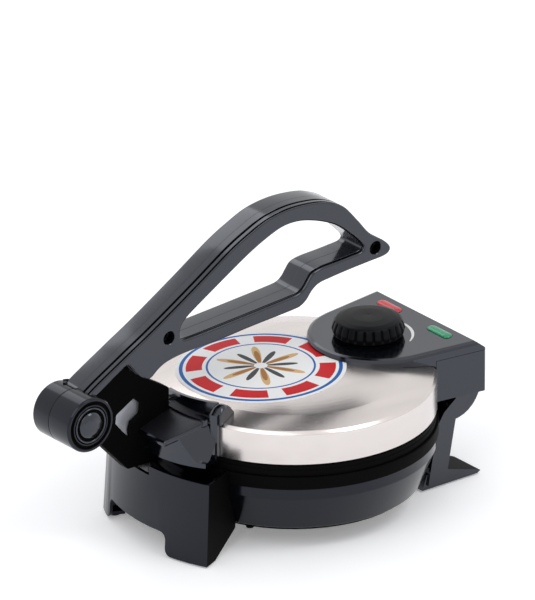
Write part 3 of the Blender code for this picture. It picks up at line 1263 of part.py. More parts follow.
def make_handle_screws():
    head = -HANDLE_WIDTH / 2 + HANDLE_RECESS_DEPTH - SEAT_GAP
    tip = HANDLE_WIDTH / 2 - SCREW_GRIP - SEAT_GAP
    for name, (x, z) in zip(("handle_screw_front", "handle_screw_tip"), handle_loop(HANDLE_SCREW_SHARES)):
        screw = turned(name, [
            (0, tip), (SCREW_SHANK_RADIUS, tip), (SCREW_SHANK_RADIUS, head),
            (SCREW_HEAD_RADIUS, head), (SCREW_HEAD_RADIUS, head - SCREW_HEAD_HEIGHT),
            (0, head - SCREW_HEAD_HEIGHT),
        ], SCREW_SIDES, closed=False)
        screw.rotation_euler = (-math.pi / 2, 0, 0)
        screw.location = (x, 0, z)
        finish(screw, name, HANDLE_PIVOT, *ZINC)


def make_pivot():
    """Steel pin through both barrels and a domed cap in each barrel's end."""
    reach = BARREL_HALF_LENGTH - CAP_THICKNESS - SEAT_GAP
    pin = rod("pivot_pin", PIVOT_PIN_RADIUS, -reach, reach, "Y", (PIVOT_X, PIVOT_Z))
    finish(pin, "pivot_pin", LID_HINGE, *ZINC)
    back = SEAT_GAP
    face = CAP_THICKNESS + CAP_DOME
    dome = [
        (0, face), (CAP_RADIUS * 0.55, face - CAP_DOME * 0.15), (CAP_RADIUS * 0.72, face - CAP_DOME * 0.5),
        (CAP_RADIUS * 0.76, face - CAP_DOME * 1.4), (CAP_RADIUS * 0.84, face - CAP_DOME * 1.4),
        (CAP_RADIUS * 0.88, face - CAP_DOME * 0.9), (CAP_RADIUS, face - CAP_DOME * 1.2),
        (CAP_RADIUS, back), (0, back),
    ]
    base = BARREL_HALF_LENGTH - CAP_THICKNESS
    for name, side, carrier in (("pivot_cap_near", -1, HANDLE_PIVOT), ("pivot_cap_far", 1, LID_HINGE)):
        cap = turned(name, dome, MEDIUM_SIDES, closed=False)
        cap.rotation_euler = (-side * math.pi / 2, 0, 0)
        cap.location = (PIVOT_X, side * base, PIVOT_Z)
        finish(cap, name, carrier, *BLACK_GLOSS)


def build():
    make_base_shell()
    make_bottom_cover()
    make_cover_screws()
    make_rim_ring()
    make_lower_heating()
    make_front_leg_frame()
    for name, side in (("near", -1), ("far", 1)):
        make_rear_bracket(f"rear_bracket_{name}", side)
        make_hinge_pin(f"hinge_pin_{name}", side)
        make_hinge_arm(f"hinge_arm_{name}", side)
        make_hood_screw(f"hood_screw_{name}", side)
        make_handle_half(f"handle_{name}_half", side)
    make_pads()
    make_lid_cover()
    make_lid_inner_ring()
    make_upper_heating()
    make_front_bracket()
    make_lever_arm()
    make_arm_screws()
    make_control_hood()
    make_control_panel()
    make_lamp("green_lamp", -1, (0.01, 0.40, 0.22))
    make_lamp("red_lamp", 1, (0.65, 0.02, 0.04))
    make_gland()
    make_thermostat()
    make_knob()
    make_handle_screws()
    make_pivot()


build()
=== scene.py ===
"""Electric roti maker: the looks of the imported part, in the order the real one is put together."""

import json
import math

import bmesh
import bpy
import numpy as np
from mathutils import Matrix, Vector
from mathutils.geometry import tessellate_polygon


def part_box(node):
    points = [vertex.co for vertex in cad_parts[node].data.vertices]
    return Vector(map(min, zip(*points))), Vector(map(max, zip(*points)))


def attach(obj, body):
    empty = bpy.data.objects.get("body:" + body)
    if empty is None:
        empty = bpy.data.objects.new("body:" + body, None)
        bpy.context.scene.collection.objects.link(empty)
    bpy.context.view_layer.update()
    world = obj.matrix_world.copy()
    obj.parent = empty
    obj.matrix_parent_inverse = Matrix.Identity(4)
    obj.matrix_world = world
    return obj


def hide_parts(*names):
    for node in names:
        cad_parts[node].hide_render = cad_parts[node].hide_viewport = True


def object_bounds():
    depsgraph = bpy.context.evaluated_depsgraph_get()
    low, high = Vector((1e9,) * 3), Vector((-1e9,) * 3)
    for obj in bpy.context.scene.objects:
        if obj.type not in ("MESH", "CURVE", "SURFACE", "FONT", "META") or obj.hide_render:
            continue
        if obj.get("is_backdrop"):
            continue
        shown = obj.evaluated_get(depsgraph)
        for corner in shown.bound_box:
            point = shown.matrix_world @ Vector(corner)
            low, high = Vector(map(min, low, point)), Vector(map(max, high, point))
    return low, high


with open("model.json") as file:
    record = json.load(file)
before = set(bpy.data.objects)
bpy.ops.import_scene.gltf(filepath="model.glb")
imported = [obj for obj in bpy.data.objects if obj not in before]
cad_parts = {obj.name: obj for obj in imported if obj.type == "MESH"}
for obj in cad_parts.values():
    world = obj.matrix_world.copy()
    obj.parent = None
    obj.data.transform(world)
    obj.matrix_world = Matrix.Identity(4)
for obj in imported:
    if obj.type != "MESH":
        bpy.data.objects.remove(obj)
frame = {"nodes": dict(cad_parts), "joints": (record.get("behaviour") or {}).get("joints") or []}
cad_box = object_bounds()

# Base shell: the black drum that holds the lower plate, with a flange round its top.
# Injection moulded in glossy black ABS, in a polished mould, so it mirrors softly.
MM = 0.001
lid_low, lid_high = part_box("lid_cover")
LID_AXIS_X = (lid_low.x + lid_high.x) / 2
AXIS = (LID_AXIS_X, 0, 0)
FLANGE_R, DRUM_TOP_R, DRUM_FOOT_R, DRUM_LIP_R = 116.3, 115.0, 103.0, 91.0
FLANGE_TOP_Z, FLANGE_LOW_Z, DRUM_BEND_Z, DRUM_LOW_Z = 70.0, 59.5, 50.5, 19.0
FLANGE_BAND, FOOT_CHAMFER, FOOT_RISE, SHELL_WALL = 18.0, 4.0, 1.5, 2.5
BROAD_GRAIN, NOISE_LOW, NOISE_HIGH, RELIEF = 40, 0.3, 0.7, 0.6
SHARP_DEGREES, SEAM_GAP_M, CURVE_SHARE = 38, 0.000002, 0.45


def linear(hex_colour):
    """sRGB hex to linear colour: each channel c becomes ((c + 0.055) / 1.055) to the power 2.4."""
    channels = np.array([int(hex_colour[i:i + 2], 16) for i in (1, 3, 5)]) / 255
    low, high = channels / 12.92, ((channels + 0.055) / 1.055) ** 2.4
    return (*np.where(channels <= 0.04045, low, high), 1.0)


def add_node(tree, kind, settings, links):
    """Adds one node: settings are its properties or input values, links feed its inputs."""
    node = tree.nodes.new("ShaderNode" + kind)
    for key, value in settings.items():
        if isinstance(key, str) and hasattr(node, key):
            setattr(node, key, value)
        else:
            node.inputs[key].default_value = value
    for key, source in links.items():
        tree.links.new(source, node.inputs[key])
    return node


def moulded_finish(name, dark, pale, grain_mm, rough, bump_mm,
                   metallic=0.0, stretch=(1, 1, 1), **shader_values):
    """A finish with grain: noise of the grain's size moves the roughness between two values
    and raises the surface by the bump's height, and much broader noise mixes two tones. Real
    grain is mostly finer than a pixel, so its size is drawn a few times coarser, to show."""
    material = bpy.data.materials.new(name)
    material.use_nodes = True
    tree = material.node_tree
    shader = tree.nodes["Principled BSDF"]
    shader.inputs["Metallic"].default_value = metallic
    for key, value in shader_values.items():
        shader.inputs[key.replace("_", " ")].default_value = value
    place = add_node(tree, "TexCoord", {}, {})
    laid = add_node(tree, "Mapping", {"Scale": stretch}, {"Vector": place.outputs["Object"]})
    grain = add_node(tree, "TexNoise", {"Scale": 1000 / grain_mm, "Detail": 4.0},
                     {"Vector": laid.outputs["Vector"]})
    broad = add_node(tree, "TexNoise", {"Scale": 1000 / (grain_mm * BROAD_GRAIN), "Detail": 2.0},
                     {"Vector": laid.outputs["Vector"]})
    tone = add_node(tree, "Mix", {"data_type": "RGBA", 6: linear(dark), 7: linear(pale)},
                    {0: broad.outputs["Fac"]})
    tree.links.new(tone.outputs[2], shader.inputs["Base Color"])
    spread = {"From Min": NOISE_LOW, "From Max": NOISE_HIGH, "To Min": rough[0], "To Max": rough[1]}
    gloss = add_node(tree, "MapRange", spread, {"Value": grain.outputs["Fac"]})
    tree.links.new(gloss.outputs["Result"], shader.inputs["Roughness"])
    relief = add_node(tree, "Bump", {"Strength": RELIEF, "Distance": bump_mm * MM},
                      {"Height": grain.outputs["Fac"]})
    tree.links.new(relief.outputs["Normal"], shader.inputs["Normal"])
    return material


def eased(profile, radius, steps=5):
    """A closed outline with its corners rounded: each corner becomes a quadratic curve from
    the point one radius before it to the point one radius after it. Where a side is too
    short for that, the curve takes nearly half of the side."""
    before, after = np.roll(profile, 1, 0) - profile, np.roll(profile, -1, 0) - profile
    length_before = np.linalg.norm(before, axis=1, keepdims=True)
    length_after = np.linalg.norm(after, axis=1, keepdims=True)
    start = profile + before / length_before * np.minimum(radius, CURVE_SHARE * length_before)
    end = profile + after / length_after * np.minimum(radius, CURVE_SHARE * length_after)
    t = np.linspace(0, 1, steps)[None, :, None]
    curve = (1 - t) ** 2 * start[:, None] + 2 * t * (1 - t) * profile[:, None] + t ** 2 * end[:, None]
    return curve.reshape(-1, 2)


def grid_faces(rows, columns, wrap_rows=True, wrap_columns=True):
    """Four-sided faces between neighbours of a grid of rows by columns, joined up where wrapped."""
    i, j = np.meshgrid(np.arange(rows if wrap_rows else rows - 1),
                       np.arange(columns if wrap_columns else columns - 1), indexing="ij")
    i2, j2 = (i + 1) % rows, (j + 1) % columns
    corners = [i * columns + j, i2 * columns + j, i2 * columns + j2, i * columns + j2]
    return np.stack(corners, -1).reshape(-1, 4)


def placed(name, data):
    """A new object in the scene that shows a mesh, a lamp or a camera."""
    thing = bpy.data.objects.new(name, data)
    bpy.context.scene.collection.objects.link(thing)
    return thing


def surface(name, points, faces, sharp_degrees=SHARP_DEGREES):
    """A mesh object of points in metres, with its seams merged and its faces turned outwards."""
    mesh = bpy.data.meshes.new(name)
    faces = faces if isinstance(faces, list) else faces.tolist()
    mesh.from_pydata(np.asarray(points).tolist(), [], faces)
    work = bmesh.new()
    work.from_mesh(mesh)
    bmesh.ops.remove_doubles(work, verts=work.verts, dist=SEAM_GAP_M)
    bmesh.ops.recalc_face_normals(work, faces=work.faces)
    work.to_mesh(mesh)
    work.free()
    mesh.shade_smooth()
    mesh.set_sharp_from_angle(angle=math.radians(sharp_degrees))
    return placed(name, mesh)


def turned(name, profile, ease, centre, axis="Z", segments=240):
    """Surface of revolution: a profile point (r, h) goes to (r cos t, r sin t, h) for t round
    the circle, about the Z or the Y axis through the centre."""
    r, h = (eased(np.array(profile, float), ease) * MM).T
    t = np.linspace(0, 2 * math.pi, segments, endpoint=False)
    wide, deep = np.outer(np.cos(t), r), np.outer(np.sin(t), r)
    along = np.broadcast_to(h, wide.shape)
    columns = (wide, deep, along) if axis == "Z" else (wide, along, deep)
    points = np.stack(columns, -1).reshape(-1, 3) + np.array(centre)
    return surface(name, points, grid_faces(segments, len(r)))


def fit(piece, body, slot, material, *stands_for):
    """Gives a finished piece its material and its body, and hides the imported nodes it stands for. The
    slot is not used.
    """
    piece.data.materials.clear()
    piece.data.materials.append(material)
    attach(piece, body)
    if stands_for:
        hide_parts(*stands_for)


def coat(material, *names):
    """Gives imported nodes, whose shape is right as it is, their finished material."""
    for name in names:
        frame["nodes"][name].data.materials.clear()
        frame["nodes"][name].data.materials.append(material)


def recoat(piece, material, chosen):
    """Gives some faces of a finished piece another material: chosen gets every face's middle,
    in mm from the lid's axis, and its normal, and says which faces those are."""
    middles = np.array([face.center for face in piece.data.polygons]) / MM - (LID_AXIS_X / MM, 0, 0)
    normals = np.array([face.normal for face in piece.data.polygons])
    index = np.array([face.material_index for face in piece.data.polygons])
    piece.data.materials.append(material)
    index[chosen(*middles.T, *normals.T)] = len(piece.data.materials) - 1
    piece.data.polygons.foreach_set("material_index", index.astype(np.int32))


def flange_face(x, y, z, nx, ny, nz):
    """The flange, made matt and nearly unreflecting: painted shade for the dark band under the lid's
    edge.
    """
    return z > FLANGE_LOW_Z - 0.5


# Gloss black ABS reads as deep black with blue-grey mirror light and a faint ripple. Matt
# black phenolic, spark-eroded in the mould, reads as charcoal with hardly any mirror light.
# The same matt black also serves as painted shade on glossy parts: the drum's flange, the
# ring grooves, the arm's web, the legs' shaded sides and the feet's tops.
gloss_abs = moulded_finish("abs_gloss_black_moulded", "#030406", "#07080c", 1.4, (0.10, 0.17), 0.002,
                           IOR=1.48, Specular_IOR_Level=0.42, Specular_Tint=(0.78, 0.83, 1.0, 1.0))
matt_black_and_painted_shade = moulded_finish("phenolic_black_matt_and_painted_shade", "#050505", "#0a0a0a", 0.6,
                               (0.50, 0.65), 0.030, Specular_IOR_Level=0.03)
drum_outside = [
    (FLANGE_R - FLANGE_BAND, FLANGE_TOP_Z), (FLANGE_R, FLANGE_TOP_Z), (FLANGE_R, FLANGE_LOW_Z),
    (DRUM_TOP_R, FLANGE_LOW_Z), (DRUM_TOP_R, DRUM_BEND_Z), (DRUM_FOOT_R, DRUM_LOW_Z + FOOT_RISE),
    (DRUM_FOOT_R - FOOT_CHAMFER, DRUM_LOW_Z), (DRUM_LIP_R, DRUM_LOW_Z),
]
drum_inside = [
    (DRUM_LIP_R, DRUM_LOW_Z + SHELL_WALL), (DRUM_FOOT_R - FOOT_CHAMFER - 1, DRUM_LOW_Z + SHELL_WALL),
    (DRUM_TOP_R - SHELL_WALL, DRUM_BEND_Z), (DRUM_TOP_R - SHELL_WALL, FLANGE_TOP_Z - SHELL_WALL),
    (FLANGE_R - FLANGE_BAND, FLANGE_TOP_Z - SHELL_WALL),
]
drum = turned("drum", drum_outside + drum_inside, 1.0, AXIS)
fit(drum, "base", "black_gloss", gloss_abs, "base_shell")
# Painted shade: the flange gets the matt, nearly unreflecting black, though the drum is one glossy
# moulding.
recoat(drum, matt_black_and_painted_shade, flange_face)

# Bottom cover: a black moulded disc with vent slots, spark-eroded matt like the flange.
# It is held by three steel screws with a matt black coat of the same tone.
coated_steel = moulded_finish("steel_screw_black_coated", "#050505", "#0a0a0a", 0.6,
                              (0.50, 0.65), 0.030, Specular_IOR_Level=0.03)
coat(matt_black_and_painted_shade, "bottom_cover")
coat(coated_steel, "bottom_screw_1", "bottom_screw_2", "bottom_screw_3")

# Heat ring: the matt black band between drum and lid, moulded in heat-proof phenolic.
# It is seated on the flange and carries the rim of the lower plate.
RING_R, RING_LOW_Z, RING_TOP_Z, RING_GROOVE_R, RING_CHAMFER = 114.3, 70.3, 80.3, 113.7, 1.7
SEAT_R, SEAT_Z, RING_FOOT_R = 101.8, 76.0, 97.5
heat_ring = turned("heat_ring", [
    (SEAT_R, RING_TOP_Z), (RING_R - RING_CHAMFER, RING_TOP_Z), (RING_R, RING_TOP_Z - RING_CHAMFER),
    (RING_R, 76.2), (RING_GROOVE_R, 75.8), (RING_GROOVE_R, 75.0), (RING_R, 74.6),
    (RING_R, RING_LOW_Z), (RING_FOOT_R, RING_LOW_Z), (RING_FOOT_R, SEAT_Z), (SEAT_R, SEAT_Z),
], 0.5, AXIS)
fit(heat_ring, "base", "black_matt", matt_black_and_painted_shade, "rim_ring")

# Plates, heaters and shields: cast aluminium with a nearly black, softly shining non-stick
# coat, a sheathed heater clamped behind each, browned by heat, and a bright rolled dish that
# throws the heat back. Zinc-plated studs hold them; the hinge pins are as pale a grey.
non_stick = moulded_finish("aluminium_cast_non_stick", "#1d1c1b", "#2b2a28", 0.3,
                           (0.38, 0.52), 0.012, metallic=0.2)
heater_oxide = moulded_finish("heater_sheath_oxidised", "#3a3330", "#5a504a", 1.0,
                              (0.45, 0.60), 0.010, metallic=0.8)
bright_sheet = moulded_finish("steel_sheet_bright_rolled", "#b4b4b3", "#cdcdcb", 0.6,
                              (0.25, 0.38), 0.004, metallic=1.0, stretch=(1, 12, 1))
zinc_plate = moulded_finish("steel_zinc_plated", "#9a9c9f", "#b9bbbe", 0.5,
                            (0.28, 0.42), 0.004, metallic=1.0)
coat(non_stick, "lower_plate", "upper_plate")
coat(heater_oxide, "lower_heater", "upper_heater")
coat(bright_sheet, "lower_heat_shield", "upper_heat_shield")
coat(zinc_plate, "hinge_pin_near", "hinge_pin_far")
for number in (1, 2, 3):
    coat(zinc_plate, f"lower_plate_stud_{number}", f"upper_plate_stud_{number}")

# Front leg frame and rear brackets: black mouldings screwed to the drum, the brackets from a
# mirror-finished mould, so they mirror more. Their edges are slightly rounded, as a moulded
# edge is, and catch a thin line of light. The legs' sides that look away from the key lamp and the
# feet's tops under the drum get a matt, nearly unreflecting black: painted shade.
NODE_GAP_M, FLAT_ENOUGH, FOOT_TOP_Z = 0.000005, math.radians(0.5), 30


def edge_rounded(piece, round_mm, angle):
    """Rounds the edges of a piece that are sharper than the angle by a Bevel of that width."""
    edge = piece.modifiers.new("moulded edge", "BEVEL")
    edge.width = round_mm * MM
    edge.segments = 3
    edge.limit_method = "ANGLE"
    edge.angle_limit = math.radians(angle)
    edge.use_clamp_overlap = True
    edge.harden_normals = True
    return piece


def softened(node, name, round_mm, angle=40):
    """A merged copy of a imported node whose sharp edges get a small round: the loose triangles
    are joined, flat neighbours become one face, and a Bevel of that width runs on the edges."""
    mesh = frame["nodes"][node].data.copy()
    work = bmesh.new()
    work.from_mesh(mesh)
    bmesh.ops.remove_doubles(work, verts=work.verts, dist=NODE_GAP_M)
    bmesh.ops.dissolve_limit(work, angle_limit=FLAT_ENOUGH, verts=work.verts, edges=work.edges)
    work.to_mesh(mesh)
    work.free()
    mesh.name = name
    mesh.shade_smooth()
    mesh.set_sharp_from_angle(angle=math.radians(angle))
    return edge_rounded(placed(name, mesh), round_mm, angle)


def legs_side(x, y, z, nx, ny, nz):
    """The front legs' upright faces that look to the rear and to the near side, away from the key lamp;
    they get painted shade.
    """
    return (nx > 0.3) & (ny < -0.2) & (np.abs(nz) < 0.5)


def foot_top(x, y, z, nx, ny, nz):
    """The tops of the rear feet, under the drum, which get painted shade."""
    return (z < FOOT_TOP_Z) & (nz > 0.5)


polished_abs = moulded_finish("abs_black_polished", "#040508", "#080a0f", 1.4, (0.10, 0.16), 0.002,
                              IOR=1.60, Specular_IOR_Level=0.62, Specular_Tint=(0.82, 0.87, 1.0, 1.0))
front_legs = softened("front_leg_frame", "front_legs", 1.2)
fit(front_legs, "base", "black_gloss", gloss_abs, "front_leg_frame")
# Painted shade: the legs' sides turned from the key lamp get the matt, nearly unreflecting black.
recoat(front_legs, matt_black_and_painted_shade, legs_side)
for side in ("near", "far"):
    leg = softened(f"rear_bracket_{side}", f"rear_leg_{side}", 0.5)
    fit(leg, "base", "black_gloss", polished_abs, f"rear_bracket_{side}")
    # Painted shade: the feet's tops get the matt, nearly unreflecting black.
    recoat(leg, matt_black_and_painted_shade, foot_top)

# Foot pads: four round black rubber pads pressed under the feet, dull and slightly dusty.
# The cord gland in the hood's rear wall is the same rubber.
pad_rubber = moulded_finish("rubber_black_moulded", "#161616", "#232322", 0.4, (0.75, 0.90), 0.020)
coat(pad_rubber, "foot_pad_front_near", "foot_pad_front_far")
coat(pad_rubber, "foot_pad_rear_near", "foot_pad_rear_far", "cord_gland")

# Lid cover: one sheet of stainless steel, pressed with a wall, a shoulder and a low crown,
# then satin brushed, so that reflections spread softly and the tone is warm and pale.
LID_R, LID_LOW_Z, LID_WALL_TOP_Z, LID_BEND, LID_DROP = 115.0, 80.8, 109.1, 2.4, 2.6
CREASE_R, CREASE_Z, CROWN_RISE, LID_SHEET, FINE_EASE = 91.0, 113.6, 3.5, 1.0, 0.45
CROWN_STEPS = (0.01, 25, 40, 50, 58, 65, 71, 77, 82, 87, CREASE_R)


def crown_height(r):
    """Height of the crown in mm: the crease's height plus a rise that falls with the cube
    of r, so the middle is nearly flat and the edge curves down."""
    return CREASE_Z + CROWN_RISE * (1 - (r / CREASE_R) ** 3)


crown = [(r, crown_height(r)) for r in CROWN_STEPS]
lid_outside = crown + [(LID_R - LID_BEND, LID_WALL_TOP_Z), (LID_R, LID_WALL_TOP_Z - LID_DROP),
                       (LID_R, LID_LOW_Z)]
lid_inside = [(LID_R - LID_SHEET, LID_LOW_Z), (LID_R - LID_SHEET, LID_WALL_TOP_Z - 3),
              (CREASE_R - LID_SHEET, CREASE_Z - LID_SHEET), (0.01, CREASE_Z + CROWN_RISE - LID_SHEET)]
satin_steel = moulded_finish("stainless_steel_satin_brushed", "#d2cbc8", "#dfd8d5", 0.35,
                             (0.20, 0.27), 0.0008, metallic=1.0, stretch=(0.04, 1, 1))
lid_sheet = turned("lid_sheet", lid_outside + lid_inside, FINE_EASE, AXIS, segments=320)
fit(lid_sheet, "lid", "lid_steel", satin_steel, "lid_cover")

# Lid's inner ring and hinge arms: heat-proof mouldings behind the cover, the ring round the
# upper plate and the arms inside the hood, matt like the heat ring.
coat(matt_black_and_painted_shade, "lid_inner_ring", "hinge_arm_near", "hinge_arm_far")

# Label: a round paper sticker, printed and laminated, so that it has a faint sheen, and stuck
# on the crown. Its design is a plain ornament: a rosette of brown and grey leaves, with a
# ring of red bars round it between two thin blue rings, all in mm from its middle.
LABEL_X, LABEL_Y, LABEL_R, PAPER, GLUE = -22.0, 14.0, 68.5, 0.15, 0.02
LABEL_RINGS, LABEL_TURNS = 40, 180
BLUE_OUTER, BLUE_INNER, RED_RING, HEART_R = (65.5, 62.5), (44.0, 42.3), (60, 47), 5.5
BARS, BAR_TURN, BAR_EDGE, LEAVES = 8, 0.4, -0.55, 6
LEAF_SETS = ((38, 4, 0.0, "#d9b27a"), (29, 14, 0.0, "#a8733a"), (30, 8, 3.1416, "#3f4145"))


def label_disc():
    """A disc on the crown: point (s, t) lies s mm out at angle t, at the crown's height plus
    the paper's thickness on top, and just over the crown below."""
    s = np.linspace(0, 1, LABEL_RINGS)[None, :] * LABEL_R
    t = np.linspace(0, 2 * math.pi, LABEL_TURNS, endpoint=False)[:, None]
    x, y = LABEL_X + s * np.cos(t), LABEL_Y + s * np.sin(t)
    z = crown_height(np.hypot(x, y))
    top = np.stack([x, y, z + PAPER], -1).reshape(-1, 3)
    low = np.stack([x, y, z + GLUE], -1).reshape(-1, 3)
    sheet = grid_faces(LABEL_TURNS, LABEL_RINGS, True, False)
    rim = LABEL_RINGS * np.arange(LABEL_TURNS) + LABEL_RINGS - 1
    edge = np.stack([rim, np.roll(rim, -1), np.roll(rim, -1) + len(top), rim + len(top)], -1)
    points = np.concatenate([top, low]) * MM + np.array(AXIS)
    return surface("label", points, np.concatenate([sheet, sheet + len(top), edge]))


label_print = bpy.data.materials.new("paper_label_printed_laminated")
label_print.use_nodes = True
tree = label_print.node_tree
shader = tree.nodes["Principled BSDF"]
shader.inputs["Roughness"].default_value = 0.42
shader.inputs["Specular IOR Level"].default_value = 0.12
place = add_node(tree, "TexCoord", {}, {})
origin = ((LID_AXIS_X / MM + LABEL_X) * -MM, LABEL_Y * -MM, 0)
centred = add_node(tree, "Mapping", {"Location": origin}, {"Vector": place.outputs["Object"]})
flat = add_node(tree, "Mapping", {"Scale": (1000, 1000, 0)}, {"Vector": centred.outputs["Vector"]})
across = add_node(tree, "SeparateXYZ", {}, {"Vector": flat.outputs["Vector"]})
away = add_node(tree, "VectorMath", {"operation": "LENGTH"}, {0: flat.outputs["Vector"]}).outputs["Value"]
bearing = add_node(tree, "Math", {"operation": "ARCTAN2"},
                   {0: across.outputs["Y"], 1: across.outputs["X"]}).outputs[0]


def printed(under, hex_colour, mask):
    """Lays one ink over what is printed under it, where the mask is 1."""
    settings = {"data_type": "RGBA", 7: linear(hex_colour)}
    return add_node(tree, "Mix", settings, {0: mask, 6: under}).outputs[2]


def inside(radius):
    """1 where the print is within the radius of the label's middle."""
    return add_node(tree, "Math", {"operation": "LESS_THAN", 1: radius}, {0: away}).outputs[0]


def ring(outer, inner):
    """1 where the print lies between two circles round the label's middle."""
    return add_node(tree, "Math", {"operation": "SUBTRACT", "use_clamp": True},
                    {0: inside(outer), 1: inside(inner)}).outputs[0]


def round_wave(count, phase):
    """Cosine of the count times the angle round the label's middle, plus a phase."""
    turn = add_node(tree, "Math", {"operation": "MULTIPLY_ADD", 1: count, 2: phase}, {0: bearing})
    return add_node(tree, "Math", {"operation": "COSINE"}, {0: turn.outputs[0]}).outputs[0]


paper_fibre = add_node(tree, "TexNoise", {"Scale": 900.0, "Detail": 3.0},
                       {"Vector": place.outputs["Object"]})
ink = add_node(tree, "Mix", {"data_type": "RGBA", 6: linear("#f3f3f1"), 7: linear("#fbfbfa")},
               {0: paper_fibre.outputs["Fac"]}).outputs[2]
sectors = add_node(tree, "Math", {"operation": "GREATER_THAN", 1: BAR_EDGE},
                   {0: round_wave(BARS, BAR_TURN)})
bars = add_node(tree, "Math", {"operation": "MULTIPLY"}, {0: sectors.outputs[0], 1: ring(*RED_RING)})
ink = printed(ink, "#cf0f18", bars.outputs[0])
ink = printed(ink, "#1f62ad", ring(*BLUE_OUTER))
ink = printed(ink, "#1f62ad", ring(*BLUE_INNER))
for leaf_long, pinch, phase, tone in LEAF_SETS:
    reach = add_node(tree, "Math", {"operation": "MULTIPLY_ADD", 1: leaf_long + pinch, 2: -pinch},
                     {0: round_wave(LEAVES, phase)})
    leaf = add_node(tree, "Math", {"operation": "LESS_THAN"}, {0: away, 1: reach.outputs[0]})
    ink = printed(ink, tone, leaf.outputs[0])
ink = printed(ink, "#f7f7f5", inside(HEART_R))
tree.links.new(ink, shader.inputs["Base Color"])
fit(label_disc(), "lid", "lid_steel", label_print)

# Front bracket: a polished black moulding screwed to the lid's rim. A low body follows the
# rim, a sloping tongue to lift the lid by, satin and so a little paler, lies on it, and behind
# the tongue a rail and a rounded nub reach over the edge of the lid.
RIM_R, BRACKET_LOW_Z, BRACKET_SPAN, RAIL_END = 115.6, 78.0, 20.5, 14
BULGE_X, BULGE_R = 60.0, 82.0
TONGUE_ROOT, TONGUE_REACH, TONGUE_BACK = (100.3, 113.6), (149.5, 98.5), 104.0
TONGUE_NEAR_Y, TONGUE_FAR_Y, TONGUE_SPREAD = -22.5, 17.0, 14.0
BODY_GAP, BODY_SLOPE, BODY_THIN, CHEEK_OVER, CHEEK_RISE, NUB_FALL = 0.9, 1.5, 4.0, 0.4, 1.6, 2.6
RAIL_DEGREES, RAIL_Z = (-17, 24), (124.0, 114.5)
NUB_R, NUB_Z = (96, 100, 106, 110, 114, 119.5), (115.4, 119.6, 123.0, 124.0, 122.6, 117.5)
SHOULDER_FALL = (CREASE_Z - LID_WALL_TOP_Z) / (LID_R - LID_BEND - CREASE_R)


def near_edge(x):
    """Y of the tongue's near edge, which spreads out evenly towards its root."""
    return TONGUE_NEAR_Y - TONGUE_SPREAD * (x + TONGUE_REACH[0]) / (TONGUE_REACH[0] - TONGUE_BACK)


def tongue_height(r):
    """Height of the tongue's top in mm, falling evenly from its root to its tip."""
    return np.interp(r, (TONGUE_ROOT[0], TONGUE_REACH[0]), (TONGUE_ROOT[1], TONGUE_REACH[1]))


def over_lid(r, gap=0.35):
    """Height just over the lid's shoulder, which falls evenly from the crease to the wall."""
    return CREASE_Z - SHOULDER_FALL * (np.clip(r, CREASE_R, LID_R) - CREASE_R) + gap


def rim_block(start, end, inner, outer, low, top, rows=30, steps=7):
    """Part of a ring round the lid's axis, closed all round. At angle a from the lid's front
    and radius r the point is (-r cos a, r sin a); low and top give its heights."""
    a = np.radians(np.linspace(start, end, rows))[:, None]
    share = np.linspace(0, 1, steps)[None, :]
    r_in, r_out = inner + 0 * a, (outer(a) if callable(outer) else outer + 0 * a)
    r = r_in + (r_out - r_in) * share
    r, z = np.concatenate([r, r[:, ::-1]], 1), np.concatenate([low(r, a), top(r, a)[:, ::-1]], 1)
    points = np.stack([-r * np.cos(a), r * np.sin(a), z], -1).reshape(-1, 3)
    around = 2 * steps
    ends = [list(range(around)), list(range((rows - 1) * around, rows * around))]
    return points, grid_faces(rows, around, False, True).tolist() + ends


def bulge(a):
    """Radius of the body's bulging front: where the ray at angle a leaves the bulge's circle."""
    return BULGE_X * np.cos(a) + np.sqrt(BULGE_R ** 2 - (BULGE_X * np.sin(a)) ** 2)


def body_top(r, a):
    """The body's top: just under the tongue, and falling steeply beside it."""
    beside = np.maximum(r * np.sin(a) - TONGUE_FAR_Y, near_edge(-r * np.cos(a)) - r * np.sin(a))
    slope = tongue_height(r) - BODY_GAP - BODY_SLOPE * np.clip(beside, 0, None)
    return np.maximum(slope, BRACKET_LOW_Z + BODY_THIN)


def cheek_top(r, a):
    """The cheek's top: a little over the tongue, and nowhere thinner than its rise."""
    return np.maximum(tongue_height(r) + CHEEK_OVER, over_lid(r, CHEEK_RISE)) + 0 * a


def rail_top(r, a):
    """The rail's top falls evenly from the nub to its far end."""
    return np.interp(np.degrees(a), RAIL_DEGREES, RAIL_Z) + 0 * r


def nub_top(r, a):
    """The nub's top: highest over the lid's edge, and falling to all sides in a soft curve."""
    sideways = np.abs(np.degrees(a) + BRACKET_SPAN - 1) / NUB_FALL
    return np.interp(r, NUB_R, NUB_Z) - NUB_FALL * sideways ** 3


def level(z):
    """Gives a block's underside the same height everywhere."""
    return lambda r, a: z + 0 * r + 0 * a


def on_lid(r, a):
    """A block's underside that follows the lid's shoulder."""
    return over_lid(r) + 0 * a


def bracket_parts():
    """The body, the cheek over the lid's edge, the rail, the nub and the post under it."""
    near, foot = -BRACKET_SPAN, level(BRACKET_LOW_Z)
    return [
        rim_block(near, BRACKET_SPAN, RIM_R, bulge, foot, body_top, 60),
        rim_block(near - 0.3, RAIL_END, TONGUE_BACK, 118.5, on_lid, cheek_top, 50),
        rim_block(near + 2.5, RAIL_END, 107.3, 110.3, on_lid, rail_top, 50),
        rim_block(near - 1.6, near + 3.6, 96.0, 117.5, on_lid, nub_top, 14, 16),
        rim_block(near - 0.5, near + 2.5, RIM_R, 119.5, level(BRACKET_LOW_Z + 0.4), nub_top, 8),
    ]


